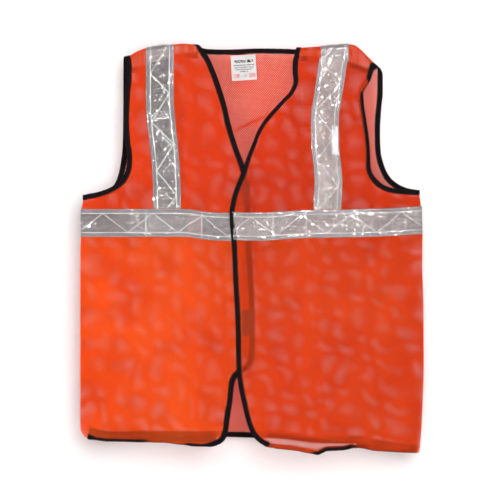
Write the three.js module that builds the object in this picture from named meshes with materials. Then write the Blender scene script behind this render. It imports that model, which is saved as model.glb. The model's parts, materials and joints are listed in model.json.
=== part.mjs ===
import * as THREE from "three";

// High visibility mesh vest with a hook-and-loop front, standing upright as worn.
// Millimetres. +Z is up, the front faces -Y, +X is the wearer's left.

// ---- driving dimensions ----
const CLOTH = 0.8; // thickness of the mesh cloth
const SIDE_GAP = 2.2; // half distance between front and back at the side folds
const SHOULDER_DEPTH = 6.8; // extra half depth at the shoulders
const FRONT_BELLY = 21; // extra depth of the front at the hem
const BACK_BELLY = 26; // extra depth of the back at the chest
const CLOSED_AT = 730; // height where the front starts to lean out
const FOLD_RISE = 10; // height of the rolled fold along the shoulder top
const FOLD_LENGTH = 30; // cloth length that goes round that fold
const OVERLAP_LIFT = 4; // how far the left front stands off the right front
const LIFT_FROM = 85; // where that stand-off starts, and how far it takes to grow
const LIFT_RUN = 75;
const TAPE_HALF = 25; // half width of the reflective tape
const BIND_WIDTH = 9; // width of each leg of the edge binding
const LEG_IN = 1; // faces of each leg, from the middle of the cloth
const LEG_OUT = 1.6;
const FLAP_GAP = 4; // slot left along each fold line
const HINGE_LEFT = { low: [104, 0], high: [79, 665], top: 640 };
const HINGE_RIGHT = { low: [-104, 0], high: [-92, 700], top: 680 };
const LABEL = { x0: -39, x1: 6.3, z1: 719.5, z0: 674, t: 0.5 };

// side edge and armhole of the right front and right back: [z, x]
const SIDE_R = [[27, -297], [31.5, -302.4], [36.9, -306], [45, -309.1], [63, -309.6], [189, -309.6], [352.8, -309.6], [391.5, -308.5], [439.7, -307.4], [450.2, -305.5], [466, -300.5]];
const ARM_FRONT_R = [[471, -277], [477.7, -258.3], [488.2, -241.2], [503.5, -229.5], [519.3, -225], [535.3, -224.3], [558, -227.2], [592.2, -229.9], [637.2, -228.8], [668, -226], [694, -224.5]];
const ARM_BACK_R = [[469.8, -276.7], [479.7, -253.8], [493.2, -244.6], [512.5, -238.9], [558.4, -233.1], [627.3, -232], [686.9, -231.7], [705, -231.6]];
const SIDE_L = [[1.8, 296.5], [7.7, 301.1], [23, 303.7], [64.8, 306.5], [154.3, 309.6], [273.8, 309.2], [333.4, 307.1], [394.2, 307.6], [446.4, 304.6], [466, 301.5], [474.8, 297.5]];
const ARM_FRONT_L = [[476.8, 262.8], [480.5, 244.8], [488.7, 230.4], [504, 217.3], [517, 212.9], [540, 212], [567, 210.2], [599.4, 205.7], [629.1, 201.2], [651.6, 199.8], [663.3, 206.3], [673.2, 212.8], [681.3, 215.5], [690.3, 217.8]];
const ARM_BACK_L = [[477.3, 283.7], [484.9, 265.3], [498.6, 249.3], [521.6, 237.8], [546.8, 232], [581.4, 230.9], [627.3, 233.3], [650.2, 235.6], [682.5, 235.6]];
// front edges and V neck: [z, x]
const EDGE_R = [[16.2, -66.6], [19.8, -56.7], [28.8, -48.1], [41.4, -43.9], [70.2, -39.8], [90.9, -36.5], [127.8, -32], [139.5, -27], [144.7, -20.7], [151.2, -9], [163.8, 0], [178.2, 3.6], [198, 4.3], [273.6, 3.6], [322.2, 1.1], [385.2, -2.5], [432, -3.6], [455.4, -4.5], [478.8, -7.6], [495, -9], [521.6, -14.9], [549.2, -25.4], [590.6, -38], [629.5, -47.2], [666.4, -58.7], [696.1, -70], [719.1, -81.5], [723, -85.4]];
const EDGE_L = [[13.3, 32.4], [15.5, 25.2], [20.3, 15.7], [28.8, 5.8], [41.2, -2.5], [65, -10.8], [90.9, -16.9], [118.3, -22.7], [141.3, -25.9], [162, -27.2], [221.6, -28.4], [270.7, -30.4], [311.9, -32.9], [363.6, -34.9], [389.5, -36.5], [417.8, -39.4], [432.2, -39.8], [450.9, -37.3], [470.5, -32.6], [487.1, -26.5], [509.8, -17.1], [542.3, -5.6], [558.4, 1.4], [581.4, 10.6], [599.8, 22], [613.4, 33.5], [636.5, 54.2], [652.5, 69.1], [673.2, 75.6], [686.9, 73.6], [707.6, 74.2], [718.2, 77.4]];
// hems, shoulder fold, shoulder seams, back neckline: [x, z]
const HEM_FRONT_R = [[-297, 27], [-277.2, 25], [-235.8, 22.9], [-156.6, 21.6], [-120.6, 17.3], [-93.6, 14.8], [-66.6, 16.2]];
const HEM_FRONT_L = [[32.4, 13.3], [77.4, 7.4], [98.5, 3.2], [118.1, 0.2], [134.6, 6.8], [167.4, 8.6], [192.1, 11.5], [223.2, 6.5], [255.2, 4.5], [296.5, 1.8]];
const HEM_BACK = [[-297, 27], [-273.6, 28.8], [-201.6, 29.7], [-93.6, 29.5], [0, 27.4], [77.4, 22.5], [113.4, 18], [189, 17.1], [230.4, 9.9], [266.4, 5.4], [296.5, 1.8]];
const TOP = [[-241, 709], [-235.4, 713.5], [-220.5, 717.8], [-207.9, 724.9], [-189.5, 731.7], [-143.6, 737.5], [-125.3, 739.3], [-97, 736.8], [-60, 735.5], [0, 734.5], [61, 732.5], [85.9, 731.9], [106.9, 733.2], [124.2, 734.4], [160, 737.4], [174.6, 738.2], [184, 736.8], [195, 729.5], [208.1, 716.5], [222, 702.5], [238, 687.5]];
const SEAM_R = [[-226.8, 693.9], [-209.7, 695.7], [-160.2, 711], [-117, 721], [-85.4, 723]];
const SEAM_L = [[77.4, 718.2], [91.8, 716.4], [122.4, 714.6], [167.4, 707.4], [210.6, 693], [217.8, 690.3]];
const NECK = [[-92, 732], [-81.5, 729.6], [-47.2, 728.6], [14.4, 730.4], [64.8, 729.6], [79, 728.6]];
// reflective tape: centre lines of the waist bands [x, z] and of the uprights [z, x]
const WAIST_FR = [[-309.6, 415.8], [-120.6, 415.8], [-93.6, 412.2], [-66.6, 409.3], [3.6, 407.5]];
const WAIST_FL = [[-41.4, 411], [0, 409], [18, 409], [68.4, 412.2], [108, 414], [160.2, 414.7], [230.4, 416.5], [307.8, 421.2]];
const WAIST_B = [[-309.6, 415.8], [-165.6, 414.9], [0, 412.2], [158.4, 414.9], [307.8, 421.2]];
const VERT_R = [[0, -150], [443.5, -152.6], [505.8, -154.4], [547.2, -157.9], [588.6, -162.5], [639, -166.1], [735, -166]];
const VERT_L = [[0, 135], [443.5, 135.7], [489.6, 137.7], [516.6, 135.7], [558, 131.8], [603, 131.4], [653.4, 138.6], [684, 142.9], [711, 146.7], [736, 149.4]];

// ---- curves and surfaces ----
// Monotone cubic through a table, straight beyond its ends.
function curve(table) {
  const n = table.length, x = table.map((p) => p[0]), y = table.map((p) => p[1]);
  const h = [], d = [], m = new Array(n).fill(0);
  for (let i = 0; i < n - 1; i++) {
    h.push(x[i + 1] - x[i]);
    d.push((y[i + 1] - y[i]) / h[i]);
  }
  m[0] = d[0];
  m[n - 1] = d[n - 2];
  for (let i = 1; i < n - 1; i++)
    if (d[i - 1] * d[i] > 0) {
      const a = 2 * h[i] + h[i - 1], b = h[i] + 2 * h[i - 1];
      m[i] = (a + b) / (a / d[i - 1] + b / d[i]);
    }
  return (t) => {
    if (t <= x[0]) return y[0];
    if (t >= x[n - 1]) return y[n - 1];
    let i = 0;
    while (t > x[i + 1]) i++;
    const s = (t - x[i]) / h[i], s2 = s * s, s3 = s2 * s;
    return (2 * s3 - 3 * s2 + 1) * y[i] + (s3 - 2 * s2 + s) * h[i] * m[i] + (3 * s2 - 2 * s3) * y[i + 1] + (s3 - s2) * h[i] * m[i + 1];
  };
}
const mix = (a, b, t) => a + (b - a) * t;
const smooth = (t) => {
  t = Math.min(1, Math.max(0, t));
  return t * t * (3 - 2 * t);
};
const sideR = curve(SIDE_R), sideL = curve(SIDE_L), top = curve(TOP);
const outFR = curve([...SIDE_R, ...ARM_FRONT_R]), outFL = curve([...SIDE_L, ...ARM_FRONT_L]);
const outBR = curve([...SIDE_R, ...ARM_BACK_R]), outBL = curve([...SIDE_L, ...ARM_BACK_L]);
const edgeR = curve(EDGE_R), edgeL = curve(EDGE_L);
const hemFR = curve(HEM_FRONT_R), hemFL = curve(HEM_FRONT_L), hemB = curve(HEM_BACK);
const seamR = curve(SEAM_R), seamL = curve(SEAM_L), neck = curve(NECK);
const waistFR = curve(WAIST_FR), waistFL = curve(WAIST_FL), waistB = curve(WAIST_B);
const vertR = curve(VERT_R), vertL = curve(VERT_L);
const hinge = (H, z) => mix(H.low[0], H.high[0], (z - H.low[1]) / (H.high[1] - H.low[1]));

const foldAt = (x) => top(x) - FOLD_RISE;
function crown(x, z) {
  const h = Math.min(Math.max(z, 64), 446), half = (x < 0 ? -sideR(h) : sideL(h)) + 0.01;
  return Math.pow(Math.max(0, 1 - Math.pow(Math.abs(x) / half, 2.6)), 0.85);
}
const frontY = (x, z) => -(SIDE_GAP + crown(x, z) * (SHOULDER_DEPTH + (FRONT_BELLY * Math.max(0, CLOSED_AT - z)) / CLOSED_AT));
const backY = (x, z) => SIDE_GAP + crown(x, z) * (SHOULDER_DEPTH + BACK_BELLY * smooth((CLOSED_AT - z) / 250) - (5 * Math.max(0, 480 - z)) / 480);
// Middle surfaces as functions of a flat pattern (x, q).
const under = (x, q) => [x, frontY(x, q), q];
const over = (x, q) => [x, frontY(x, q) - OVERLAP_LIFT * smooth((LIFT_FROM - x) / LIFT_RUN), q];
// q is height below the shoulder fold on the back, then cloth length round the fold and down the front.
function back(x, q) {
  const zs = foldAt(x);
  if (q <= 0) return [x, backY(x, zs + q), zs + q];
  if (q >= FOLD_LENGTH) return [x, frontY(x, zs - (q - FOLD_LENGTH)), zs - (q - FOLD_LENGTH)];
  const a = (Math.PI * q) / FOLD_LENGTH;
  return [x, (a < Math.PI / 2 ? backY(x, zs) : -frontY(x, zs)) * Math.cos(a), zs + FOLD_RISE * Math.sin(a)];
}
// A point n millimetres off a surface, outward.
function off(surface, turn, x, q, n) {
  const e = 0.5, p = surface(x, q);
  const a = surface(x + e, q), b = surface(x - e, q), c = surface(x, q + e), d = surface(x, q - e);
  const u = [a[0] - b[0], a[1] - b[1], a[2] - b[2]], v = [c[0] - d[0], c[1] - d[1], c[2] - d[2]];
  let m = [u[1] * v[2] - u[2] * v[1], u[2] * v[0] - u[0] * v[2], u[0] * v[1] - u[1] * v[0]];
  const s = turn / Math.hypot(...m);
  m = m.map((k) => k * s);
  return [p[0] + m[0] * n, p[1] + m[1] * n, p[2] + m[2] * n];
}
const FRONT_UNDER = (x, q, n) => off(under, 1, x, q, n);
const FRONT_OVER = (x, q, n) => off(over, 1, x, q, n);
const BACK = (x, q, n) => off(back, -1, x, q, n);

// ---- solids ----
function solid(points, faces) {
  let v = 0;
  for (const [a, b, c] of faces) {
    const A = points[a], B = points[b], C = points[c];
    v += A[0] * (B[1] * C[2] - B[2] * C[1]) + A[1] * (B[2] * C[0] - B[0] * C[2]) + A[2] * (B[0] * C[1] - B[1] * C[0]);
  }
  const g = new THREE.BufferGeometry();
  g.setAttribute("position", new THREE.BufferAttribute(new Float32Array(points.flat()), 3));
  g.setIndex((v < 0 ? faces.map(([a, b, c]) => [a, c, b]) : faces).flat());
  return g;
}
// A sheet of cloth: quads of pattern points, given thickness between offsets lo and hi.
function sheet(surface, quads, lo, hi) {
  const key = new Map(), flat = [], tris = [];
  const id = (p) => {
    const k = p[0].toFixed(3) + "," + p[1].toFixed(3);
    if (!key.has(k)) {
      key.set(k, flat.length);
      flat.push(p);
    }
    return key.get(k);
  };
  for (const q of quads) {
    const [a, b, c, d] = q.map(id);
    for (const t of [[a, b, c], [a, c, d]]) if (new Set(t).size === 3) tris.push(t);
  }
  const n = flat.length, points = [...flat.map((p) => surface(p[0], p[1], lo)), ...flat.map((p) => surface(p[0], p[1], hi))];
  const faces = [], seen = new Set();
  for (const [a, b, c] of tris) {
    faces.push([a, b, c], [a + n, c + n, b + n]);
    for (const [s, t] of [[a, b], [b, c], [c, a]]) seen.add(s + "_" + t);
  }
  for (const e of seen) {
    const [s, t] = e.split("_").map(Number);
    if (!seen.has(t + "_" + s)) faces.push([t, s, s + n], [t, s + n, t + n]);
  }
  return solid(points, faces);
}
const grid = (rows) => {
  const quads = [];
  for (let i = 0; i + 1 < rows.length; i++)
    for (let j = 0; j + 1 < rows[i].length; j++) quads.push([rows[i][j], rows[i][j + 1], rows[i + 1][j + 1], rows[i + 1][j]]);
  return quads;
};
// Offset directions of a pattern path, mitred; side +1 is to the left of travel.
function mitres(path, side, closed) {
  const n = path.length, dir = (a, b) => {
    const l = Math.hypot(b[0] - a[0], b[1] - a[1]) || 1;
    return [(b[0] - a[0]) / l, (b[1] - a[1]) / l];
  };
  return path.map((p, i) => {
    const a = i || closed ? dir(path[(i + n - 1) % n], p) : null, b = i < n - 1 || closed ? dir(p, path[(i + 1) % n]) : null;
    const t = a && b ? [a[0] + b[0], a[1] + b[1]] : a || b;
    const l = Math.hypot(t[0], t[1]) || 1, m = [(-t[1] / l) * side, (t[0] / l) * side];
    const c = a && b ? Math.max(0.72, Math.abs((a[0] * t[0] + a[1] * t[1]) / l)) : 1;
    return [m[0] / c, m[1] / c];
  });
}
// U-shaped binding folded round a cloth edge.
const uSection = (w, steps) => {
  const s = [];
  for (let i = 0; i <= steps; i++) s.push([mix(w, -1, i / steps), LEG_OUT]);
  for (let i = 0; i <= steps; i++) s.push([mix(-1, w, i / steps), -LEG_OUT]);
  for (let i = 0; i <= steps; i++) s.push([mix(w, -0.4, i / steps), -LEG_IN]);
  for (let i = 0; i <= steps; i++) s.push([mix(-0.4, w, i / steps), LEG_IN]);
  return s;
};
const area = (a, b, c) => (b[0] - a[0]) * (c[1] - a[1]) - (b[1] - a[1]) * (c[0] - a[0]);
const shoelace = (s) => s.reduce((v, p, i) => v + p[0] * s[(i + 1) % s.length][1] - p[1] * s[(i + 1) % s.length][0], 0);
// stations: list of lists of 3-D points that all follow the same 2-D section
function sweep(stations, section, closed) {
  const m = section.length, n = stations.length, faces = [];
  for (let i = 0; i < (closed ? n : n - 1); i++)
    for (let j = 0; j < m; j++) {
      const a = i * m + j, b = i * m + ((j + 1) % m), c = ((i + 1) % n) * m + ((j + 1) % m), d = ((i + 1) % n) * m + j;
      faces.push([a, b, c], [a, c, d]);
    }
  if (!closed) {
    const ccw = shoelace(section) > 0;
    for (const [a, b, c] of THREE.ShapeUtils.triangulateShape(section.map((p) => new THREE.Vector2(p[0], p[1])), [])) {
      const t = area(section[a], section[b], section[c]) > 0 === ccw ? [a, b, c] : [a, c, b];
      faces.push([t[0], t[2], t[1]]);
      const k = (n - 1) * m;
      faces.push([t[0] + k, t[1] + k, t[2] + k]);
    }
  }
  return solid(stations.flat(), faces);
}
function binding(surface, path, side, steps = 1, width = BIND_WIDTH) {
  const section = uSection(width, steps), dirs = mitres(path, side, false);
  return sweep(path.map((p, i) => section.map(([k, n]) => surface(p[0] + dirs[i][0] * k, p[1] + dirs[i][1] * k, n))), section, false);
}

// ---- pattern grids ----
// Rows of the fronts: heights at the front edge and at the side, bottom to top.
const LOW_R = [[16.2, 27], [19.8, 31.5], [28.8, 36.9], [41.4, 45], [63, 63], [98, 95], [127.8, 125], [144.7, 145], [163.8, 165], [198, 200], [245, 245], [295, 295], [345, 345]];
const HIGH_R = [[455.4, 452], [467, 466], [475, 471], [483, 477.7], [493, 488.2], [507, 503.5], [523, 519.3], [541, 535.3], [565, 558], [600, 592], [645, 637.2], [HINGE_RIGHT.top, 668], [723, 694]];
const LOW_L = [[13.3, 1.8], [20.3, 7.7], [28.8, 23], [41.2, 40], [65, 64.8], [98, 98], [130, 130], [165, 165], [210, 210], [255, 255], [300, 300], [345, 345]];
const HIGH_L = [[455, 452], [470.5, 474.8], [476, 476.8], [483, 480.5], [495, 488.7], [510, 504], [523, 517], [542, 540], [567, 567], [597, 599.4], [622, 629.1], [HINGE_LEFT.top, 651.6], [660, 663.3], [687, 673.2], [718.2, 690.3]];
function frontRows(low, high, edge, out, hem, waist, seam, H, vert, sign) {
  const rows = [];
  const add = (e, s, fix) => rows.push({ e, s, z: (x) => {
    const xe = edge(e), xs = out(s), t = (x - xe) / (xs - xe);
    return fix ? fix(x, t) : mix(e, s, t);
  } });
  low.forEach(([e, s], k) => add(e, s, k < 4 ? (x, t) => mix(e, s, t) + (1 - k / 4) * (hem(x) - mix(low[0][0], low[0][1], t)) : null));
  for (const d of [-TAPE_HALF, 0, TAPE_HALF]) {
    const e = waist(edge(410)) + d, s = waist(out(415)) + d;
    add(e, s, (x) => waist(x) + d);
  }
  high.forEach(([e, s], k) => add(e, s, k === high.length - 1 ? (x) => seam(x) : null));
  return rows.map((r, k) => {
    const at = (x) => [x, r.z(x)];
    const xOut = out(r.s), xEdge = edge(r.e);
    let xh = hinge(H, r.e);
    for (let i = 0; i < 3; i++) xh = hinge(H, r.z(xh));
    const zt = r.z(vert(r.e)), xt = vert(zt), ti = xt - sign * TAPE_HALF, to = xt + sign * TAPE_HALF;
    const upper = r.e > H.top - 0.5;
    const xHinge = r.e > H.top + 0.5 ? mix(xEdge, ti, 0.3) : xh;
    return {
      upper, at,
      root: [xOut, mix(xOut, to, 0.1), mix(xOut, to, 0.27), mix(xOut, to, 0.6), to, xt, ti, mix(ti, xHinge + (upper && r.e > H.top + 0.5 ? 0 : (sign * FLAP_GAP) / 2), 0.5), xHinge + (upper && r.e > H.top + 0.5 ? 0 : (sign * FLAP_GAP) / 2)].map(at),
      flap: [xh - (sign * FLAP_GAP) / 2, mix(xh, xEdge + sign * 10, 0.27), mix(xh, xEdge + sign * 10, 0.52), mix(xh, xEdge + sign * 10, 0.77), xEdge + sign * 10, xEdge].map(at),
      edge: at(xEdge),
    };
  });
}
const ROWS_R = frontRows(LOW_R, HIGH_R, edgeR, outFR, hemFR, waistFR, seamR, HINGE_RIGHT, vertR, -1);
const ROWS_L = frontRows(LOW_L, HIGH_L, edgeL, outFL, hemFL, waistFL, seamL, HINGE_LEFT, vertL, 1);
const kTopR = LOW_R.length + 3 + HIGH_R.findIndex((r) => r[0] === HINGE_RIGHT.top), kTopL = LOW_L.length + 3 + HIGH_L.findIndex((r) => r[0] === HINGE_LEFT.top);
const kWaistR = LOW_R.length, kWaistL = LOW_L.length;

// Back: heights at the right side and the left side, bottom to top.
const LOW_B = [[27, 1.8], [31.5, 7.7], [36.9, 23], [45, 40], [63, 64.8], [98, 98], [130, 130], [165, 165], [210, 210], [255, 255], [300, 300], [345, 345]];
const HIGH_B = [[452, 455], [466, 474.8], [469.8, 477.3], [479.7, 484.9], [493.2, 498.6], [512.5, 521.6], [535, 546.8], [558.4, 570], [592, 595], [627.3, 620], [655, 640]];
const NECK_X = [-92, 79];
function backColumns(xr, xl, z) {
  const r = vertR(z), l = vertL(z), ro = r - TAPE_HALF, ri = r + TAPE_HALF, li = l - TAPE_HALF, lo = l + TAPE_HALF;
  return [xr, mix(xr, ro, 0.1), mix(xr, ro, 0.27), mix(xr, ro, 0.6), ro, r, ri, mix(ri, NECK_X[0], 0.5), NECK_X[0], -50, -7, 36, NECK_X[1], mix(NECK_X[1], li, 0.5), li, l, lo, mix(lo, xl, 0.4), mix(lo, xl, 0.73), mix(lo, xl, 0.9), xl];
}
const ROWS_B = [];
{
  const put = (zr, zl, f) => {
    const xr = outBR(zr), xl = outBL(zl);
    ROWS_B.push(backColumns(xr, xl, (zr + zl) / 2).map((x) => [x, (f ? f(x, (x - xr) / (xl - xr)) : mix(zr, zl, (x - xr) / (xl - xr))) - foldAt(x)]));
  };
  LOW_B.forEach(([r, l], k) => put(r, l, k < 4 ? (x, t) => mix(r, l, t) + (1 - k / 4) * (hemB(x) - mix(27, 1.8, t)) : null));
  for (const d of [-TAPE_HALF, 0, TAPE_HALF]) put(415 + d, 415 + d, (x) => waistB(x) + d);
  HIGH_B.forEach(([r, l]) => put(r, l));
}
const kWaistB = LOW_B.length;
const ANGLES = [17, 34, 62, 90, 118, 149, 180];
const neckQ = (x) => (FOLD_LENGTH / Math.PI) * Math.asin(Math.min(0.98, Math.max(0.05, (neck(x) - foldAt(x)) / FOLD_RISE)));
const qAt = (deg) => (FOLD_LENGTH * deg) / 180;
const NECK_TOP = { r: [-92, -92, -94.5, -97, -95, -91, -88, -86], l: [79, 79, 80.3, 81, 80.4, 79.4, 78.4, 77.6] };
const ARM_TOP = { r: [-231.6, -231.4, -231, -230.4, -229.4, -228, -226.5, -224.6], l: [235.6, 235.4, 234, 231.5, 228, 224.5, 221, 218] };
const shoulderR = [], shoulderL = [];
{
  const cols = (set, row) => (set === "r" ? [ARM_TOP.r[row], NECK_TOP.r[row]] : [NECK_TOP.l[row], ARM_TOP.l[row]]);
  const lineR = (row) => {
    const [a, b] = cols("r", row), t = vertR(736);
    return [a, mix(a, t - TAPE_HALF, 0.1), mix(a, t - TAPE_HALF, 0.27), mix(a, t - TAPE_HALF, 0.6), t - TAPE_HALF, t, t + TAPE_HALF, mix(t + TAPE_HALF, b, 0.5), b];
  };
  const lineL = (row) => {
    const [a, b] = cols("l", row), t = vertL(736);
    return [a, mix(a, t - TAPE_HALF, 0.5), t - TAPE_HALF, t, t + TAPE_HALF, mix(t + TAPE_HALF, b, 0.4), mix(t + TAPE_HALF, b, 0.73), mix(t + TAPE_HALF, b, 0.9), b];
  };
  // last straight rows of the back, all at the start of the fold
  for (const q of [-28, 0]) {
    const row = backColumns(-231.6, 235.6, 730);
    ROWS_B.push(row.map((x) => [x, q]));
  }
  const last = ROWS_B[ROWS_B.length - 1];
  shoulderR.push(last.slice(0, 9));
  shoulderL.push(last.slice(12));
  const cR = neckQ(NECK_X[0]), cL = neckQ(NECK_X[1]);
  ANGLES.forEach((deg, i) => {
    const q = (corner) => (i === 0 ? corner / 2 : i === 1 ? corner : qAt(deg));
    shoulderR.push(lineR(i).map((x, j) => [x, i < 2 ? q(mix(qAt(34), cR, j / 8)) : qAt(deg)]));
    shoulderL.push(lineL(i).map((x, j) => [x, i < 2 ? q(mix(cL, qAt(34), Math.min(1, j / 3))) : mix(Math.max(qAt(deg), j < 3 ? cL + (i - 1) * 2.4 : 0), qAt(deg), Math.min(1, j / 3))]));
  });
  const down = (row, seam) => row.map(([x, q]) => [x, Math.max(q + 0.6, FOLD_LENGTH + foldAt(x) - seam(x) - 1.5)]);
  const endR = down(lineR(7).map((x) => [x, FOLD_LENGTH]), seamR), endL = down(lineL(7).map((x) => [x, FOLD_LENGTH]), seamL);
  shoulderR.push(endR);
  shoulderL.push(endL);
}
const neckRows = [0, 1, 2].map((k) => [NECK_X[0], -50, -7, 36, NECK_X[1]].map((x) => [x, k === 0 ? 0 : (neckQ(x) * k) / 2]));

// ---- nodes ----
const vest = new THREE.Group();
const LOOKS = {
  mesh: ["#e0461f", 0.85, 0],
  bind: ["#15080a", 0.8, 0],
  tape: ["#9c9292", 0.45, 0.1],
  film: ["#c9c6c8", 0.2, 0],
  label: ["#e9e4e2", 0.7, 0],
  hook: ["#101012", 0.9, 0],
};
function node(name, geometry, look) {
  const [color, roughness, metalness] = LOOKS[look];
  const mesh = new THREE.Mesh(geometry, new THREE.MeshStandardMaterial({ color, roughness, metalness }));
  mesh.name = name;
  vest.add(mesh);
}
const T = CLOTH / 2;
const cols = (rows, a, b) => rows.map((r) => r.slice(a, b + 1));

// cloth
node("back_panel", sheet(BACK, [...grid(ROWS_B), ...grid(shoulderR), ...grid(shoulderL), ...grid(neckRows)], -T, T), "mesh");
// Above the fold line's top the cloth runs on to the V edge.
const rootQuads = (rows, kTop) => {
  const q = grid(rows.map((r) => r.root));
  for (let k = kTop; k + 1 < rows.length; k++) {
    const a = rows[k].root[8], b = rows[k + 1].root[8];
    q.push([a, rows[k].edge, rows[k + 1].edge, b]);
  }
  return q;
};
node("right_front_panel", sheet(FRONT_UNDER, rootQuads(ROWS_R, kTopR), -T, T), "mesh");
node("left_front_panel", sheet(FRONT_OVER, rootQuads(ROWS_L, kTopL), -T, T), "mesh");
const flapRows = (rows, kTop) => rows.slice(0, kTop + 1).map((r, i) => (i < kTop ? r.flap : r.flap.map(([x, z]) => [x, z - 3])));
const FLAP_R = flapRows(ROWS_R, kTopR), FLAP_L = flapRows(ROWS_L, kTopL);
node("right_front_flap", sheet(FRONT_UNDER, grid(FLAP_R), -T, T), "mesh");
node("left_front_flap", sheet(FRONT_OVER, grid(FLAP_L), -T, T), "mesh");

// reflective tape: grey backing and clear film on each run
const upright = (name, surface, rows) => {
  node(name, sheet(surface, grid(rows), 0.8, 1.2), "tape");
  node(name + "_film", sheet(surface, grid(rows), 1.6, 1.9), "film");
};
const aboveWaist = (rows, k) => rows.slice(k);
const trim = (rows, d) => rows.map((r, i) => (i === 0 ? r.map(([x, q]) => [x, q + d]) : i === rows.length - 1 ? r.map(([x, q]) => [x, q - d]) : r));
upright("right_front_tape", FRONT_UNDER, trim(cols(ROWS_R.slice(kWaistR + 2).map((r) => r.root), 4, 6), 0.8));
upright("left_front_tape", FRONT_OVER, trim(cols(ROWS_L.slice(kWaistL + 2).map((r) => r.root), 4, 6), 0.8));
upright("right_back_tape", BACK, trim([...cols(ROWS_B.slice(kWaistB + 2), 4, 6), ...cols(shoulderR.slice(1), 4, 6)], 0.8));
upright("left_back_tape", BACK, trim([...cols(ROWS_B.slice(kWaistB + 2), 14, 16), ...cols(shoulderL.slice(1), 2, 4)], 0.8));
upright("waist_back_tape", BACK, ROWS_B.slice(kWaistB, kWaistB + 3).map((r) => r.map(([x, q], j) => [j === 0 ? x + 0.8 : j === r.length - 1 ? x - 0.8 : x, q])));
const waistRoot = (rows, k, s) => rows.slice(k, k + 3).map((r) => r.root.map(([x, z], j) => [j === 0 ? x - s * 0.8 : x, z]));
const waistFlap = (rows, k, s) => rows.slice(k, k + 3).map((r) => r.flap.slice(0, 5).map(([x, z], j) => [j === 4 ? x - s * 0.3 : x, z]));
upright("waist_right_tape", FRONT_UNDER, waistRoot(ROWS_R, kWaistR, -1));
upright("waist_left_tape", FRONT_OVER, waistRoot(ROWS_L, kWaistL, 1));
upright("waist_right_flap_tape", FRONT_UNDER, waistFlap(ROWS_R, kWaistR, -1));
upright("waist_left_flap_tape", FRONT_OVER, waistFlap(ROWS_L, kWaistL, 1));

// edge bindings
const TRIM = 0.5;
node("right_front_edge_binding", binding(FRONT_UNDER, FLAP_R.map((r) => r[5]), 1), "bind");
node("left_front_edge_binding", binding(FRONT_OVER, FLAP_L.map((r) => r[5]), -1), "bind");
const hemPath = (row, x0, x1) => [[x0, mixAt(row, x0)], ...row.filter((p) => p[0] > Math.min(x0, x1) + 3 && p[0] < Math.max(x0, x1) - 3), [x1, mixAt(row, x1)]].sort((a, b) => a[0] - b[0]);
function mixAt(row, x) {
  const r = [...row].sort((a, b) => a[0] - b[0]);
  for (let i = 0; i + 1 < r.length; i++) if (x >= r[i][0] - 1e-6 && x <= r[i + 1][0] + 1e-6) return mix(r[i][1], r[i + 1][1], (x - r[i][0]) / (r[i + 1][0] - r[i][0]));
  return x < r[0][0] ? r[0][1] : r[r.length - 1][1];
}
const hemR = ROWS_R[0], hemL = ROWS_L[0];
node("right_hem_binding", binding(FRONT_UNDER, hemPath(hemR.root, hemR.root[0][0] + 1, hemR.root[8][0] - 1), 1), "bind");
node("left_hem_binding", binding(FRONT_OVER, hemPath(hemL.root, hemL.root[8][0] + 1, hemL.root[0][0] - 1), 1), "bind");
node("right_flap_hem_binding", binding(FRONT_UNDER, hemPath(hemR.flap, hemR.flap[0][0] + 1, hemR.flap[5][0] - BIND_WIDTH - 8), 1), "bind");
node("left_flap_hem_binding", binding(FRONT_OVER, hemPath(hemL.flap, hemL.flap[5][0] + BIND_WIDTH + 12, hemL.flap[0][0] - 1), 1), "bind");
node("back_hem_binding", binding(BACK, hemPath(ROWS_B[0], ROWS_B[0][0][0] + 1, ROWS_B[0][20][0] - 1), 1), "bind");

// neck binding: up the right V, over the shoulder, along the back neck, down the left V
{
  const rightV = ROWS_R.slice(kTopR).map((r) => r.edge), leftV = ROWS_L.slice(kTopL).map((r) => r.edge).reverse();
  const section = uSection(BIND_WIDTH, 3), stations = [];
  const flat = (path, side, at, first, last) => {
    const d = mitres(path, side, false);
    if (first) d[0] = first;
    if (last) d[path.length - 1] = last;
    path.forEach((p, i) => stations.push(section.map(([w, n]) => at(p[0] + d[i][0] * w, p[1] + d[i][1] * w, n))));
  };
  const pattern = (p, d) => stations.push(section.map(([w, n]) => BACK(p[0] + d[0] * w, p[1] + d[1] * w, n)));
  const fan = [0.35, 0.75, 1], fanOut = [1, 0.75, 0.35];
  flat(rightV, 1, FRONT_UNDER, null, [-1, 0]);
  for (const r of shoulderR.slice(3).reverse()) pattern(r[8], [-1, 0]);
  const cornerR = neckRows[2][0], cornerL = neckRows[2][4];
  pattern(cornerR, [-1, 0]);
  for (const f of fan) pattern(cornerR, [-1, -f]);
  for (const f of fanOut.slice(1)) pattern(cornerR, [-f, -1]);
  for (const p of neckRows[2].slice(1, -1)) pattern(p, [0, -1]);
  for (const f of fan.slice(0, -1)) pattern(cornerL, [f, -1]);
  for (const f of fanOut) pattern(cornerL, [1, -f]);
  pattern(cornerL, [1, 0]);
  for (const r of shoulderL.slice(3)) pattern(r[0], [1, 0]);
  flat(leftV, 1, FRONT_OVER, [1, 0], null);
  node("neck_binding", sweep(stations, section, false), "bind");
}

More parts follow.
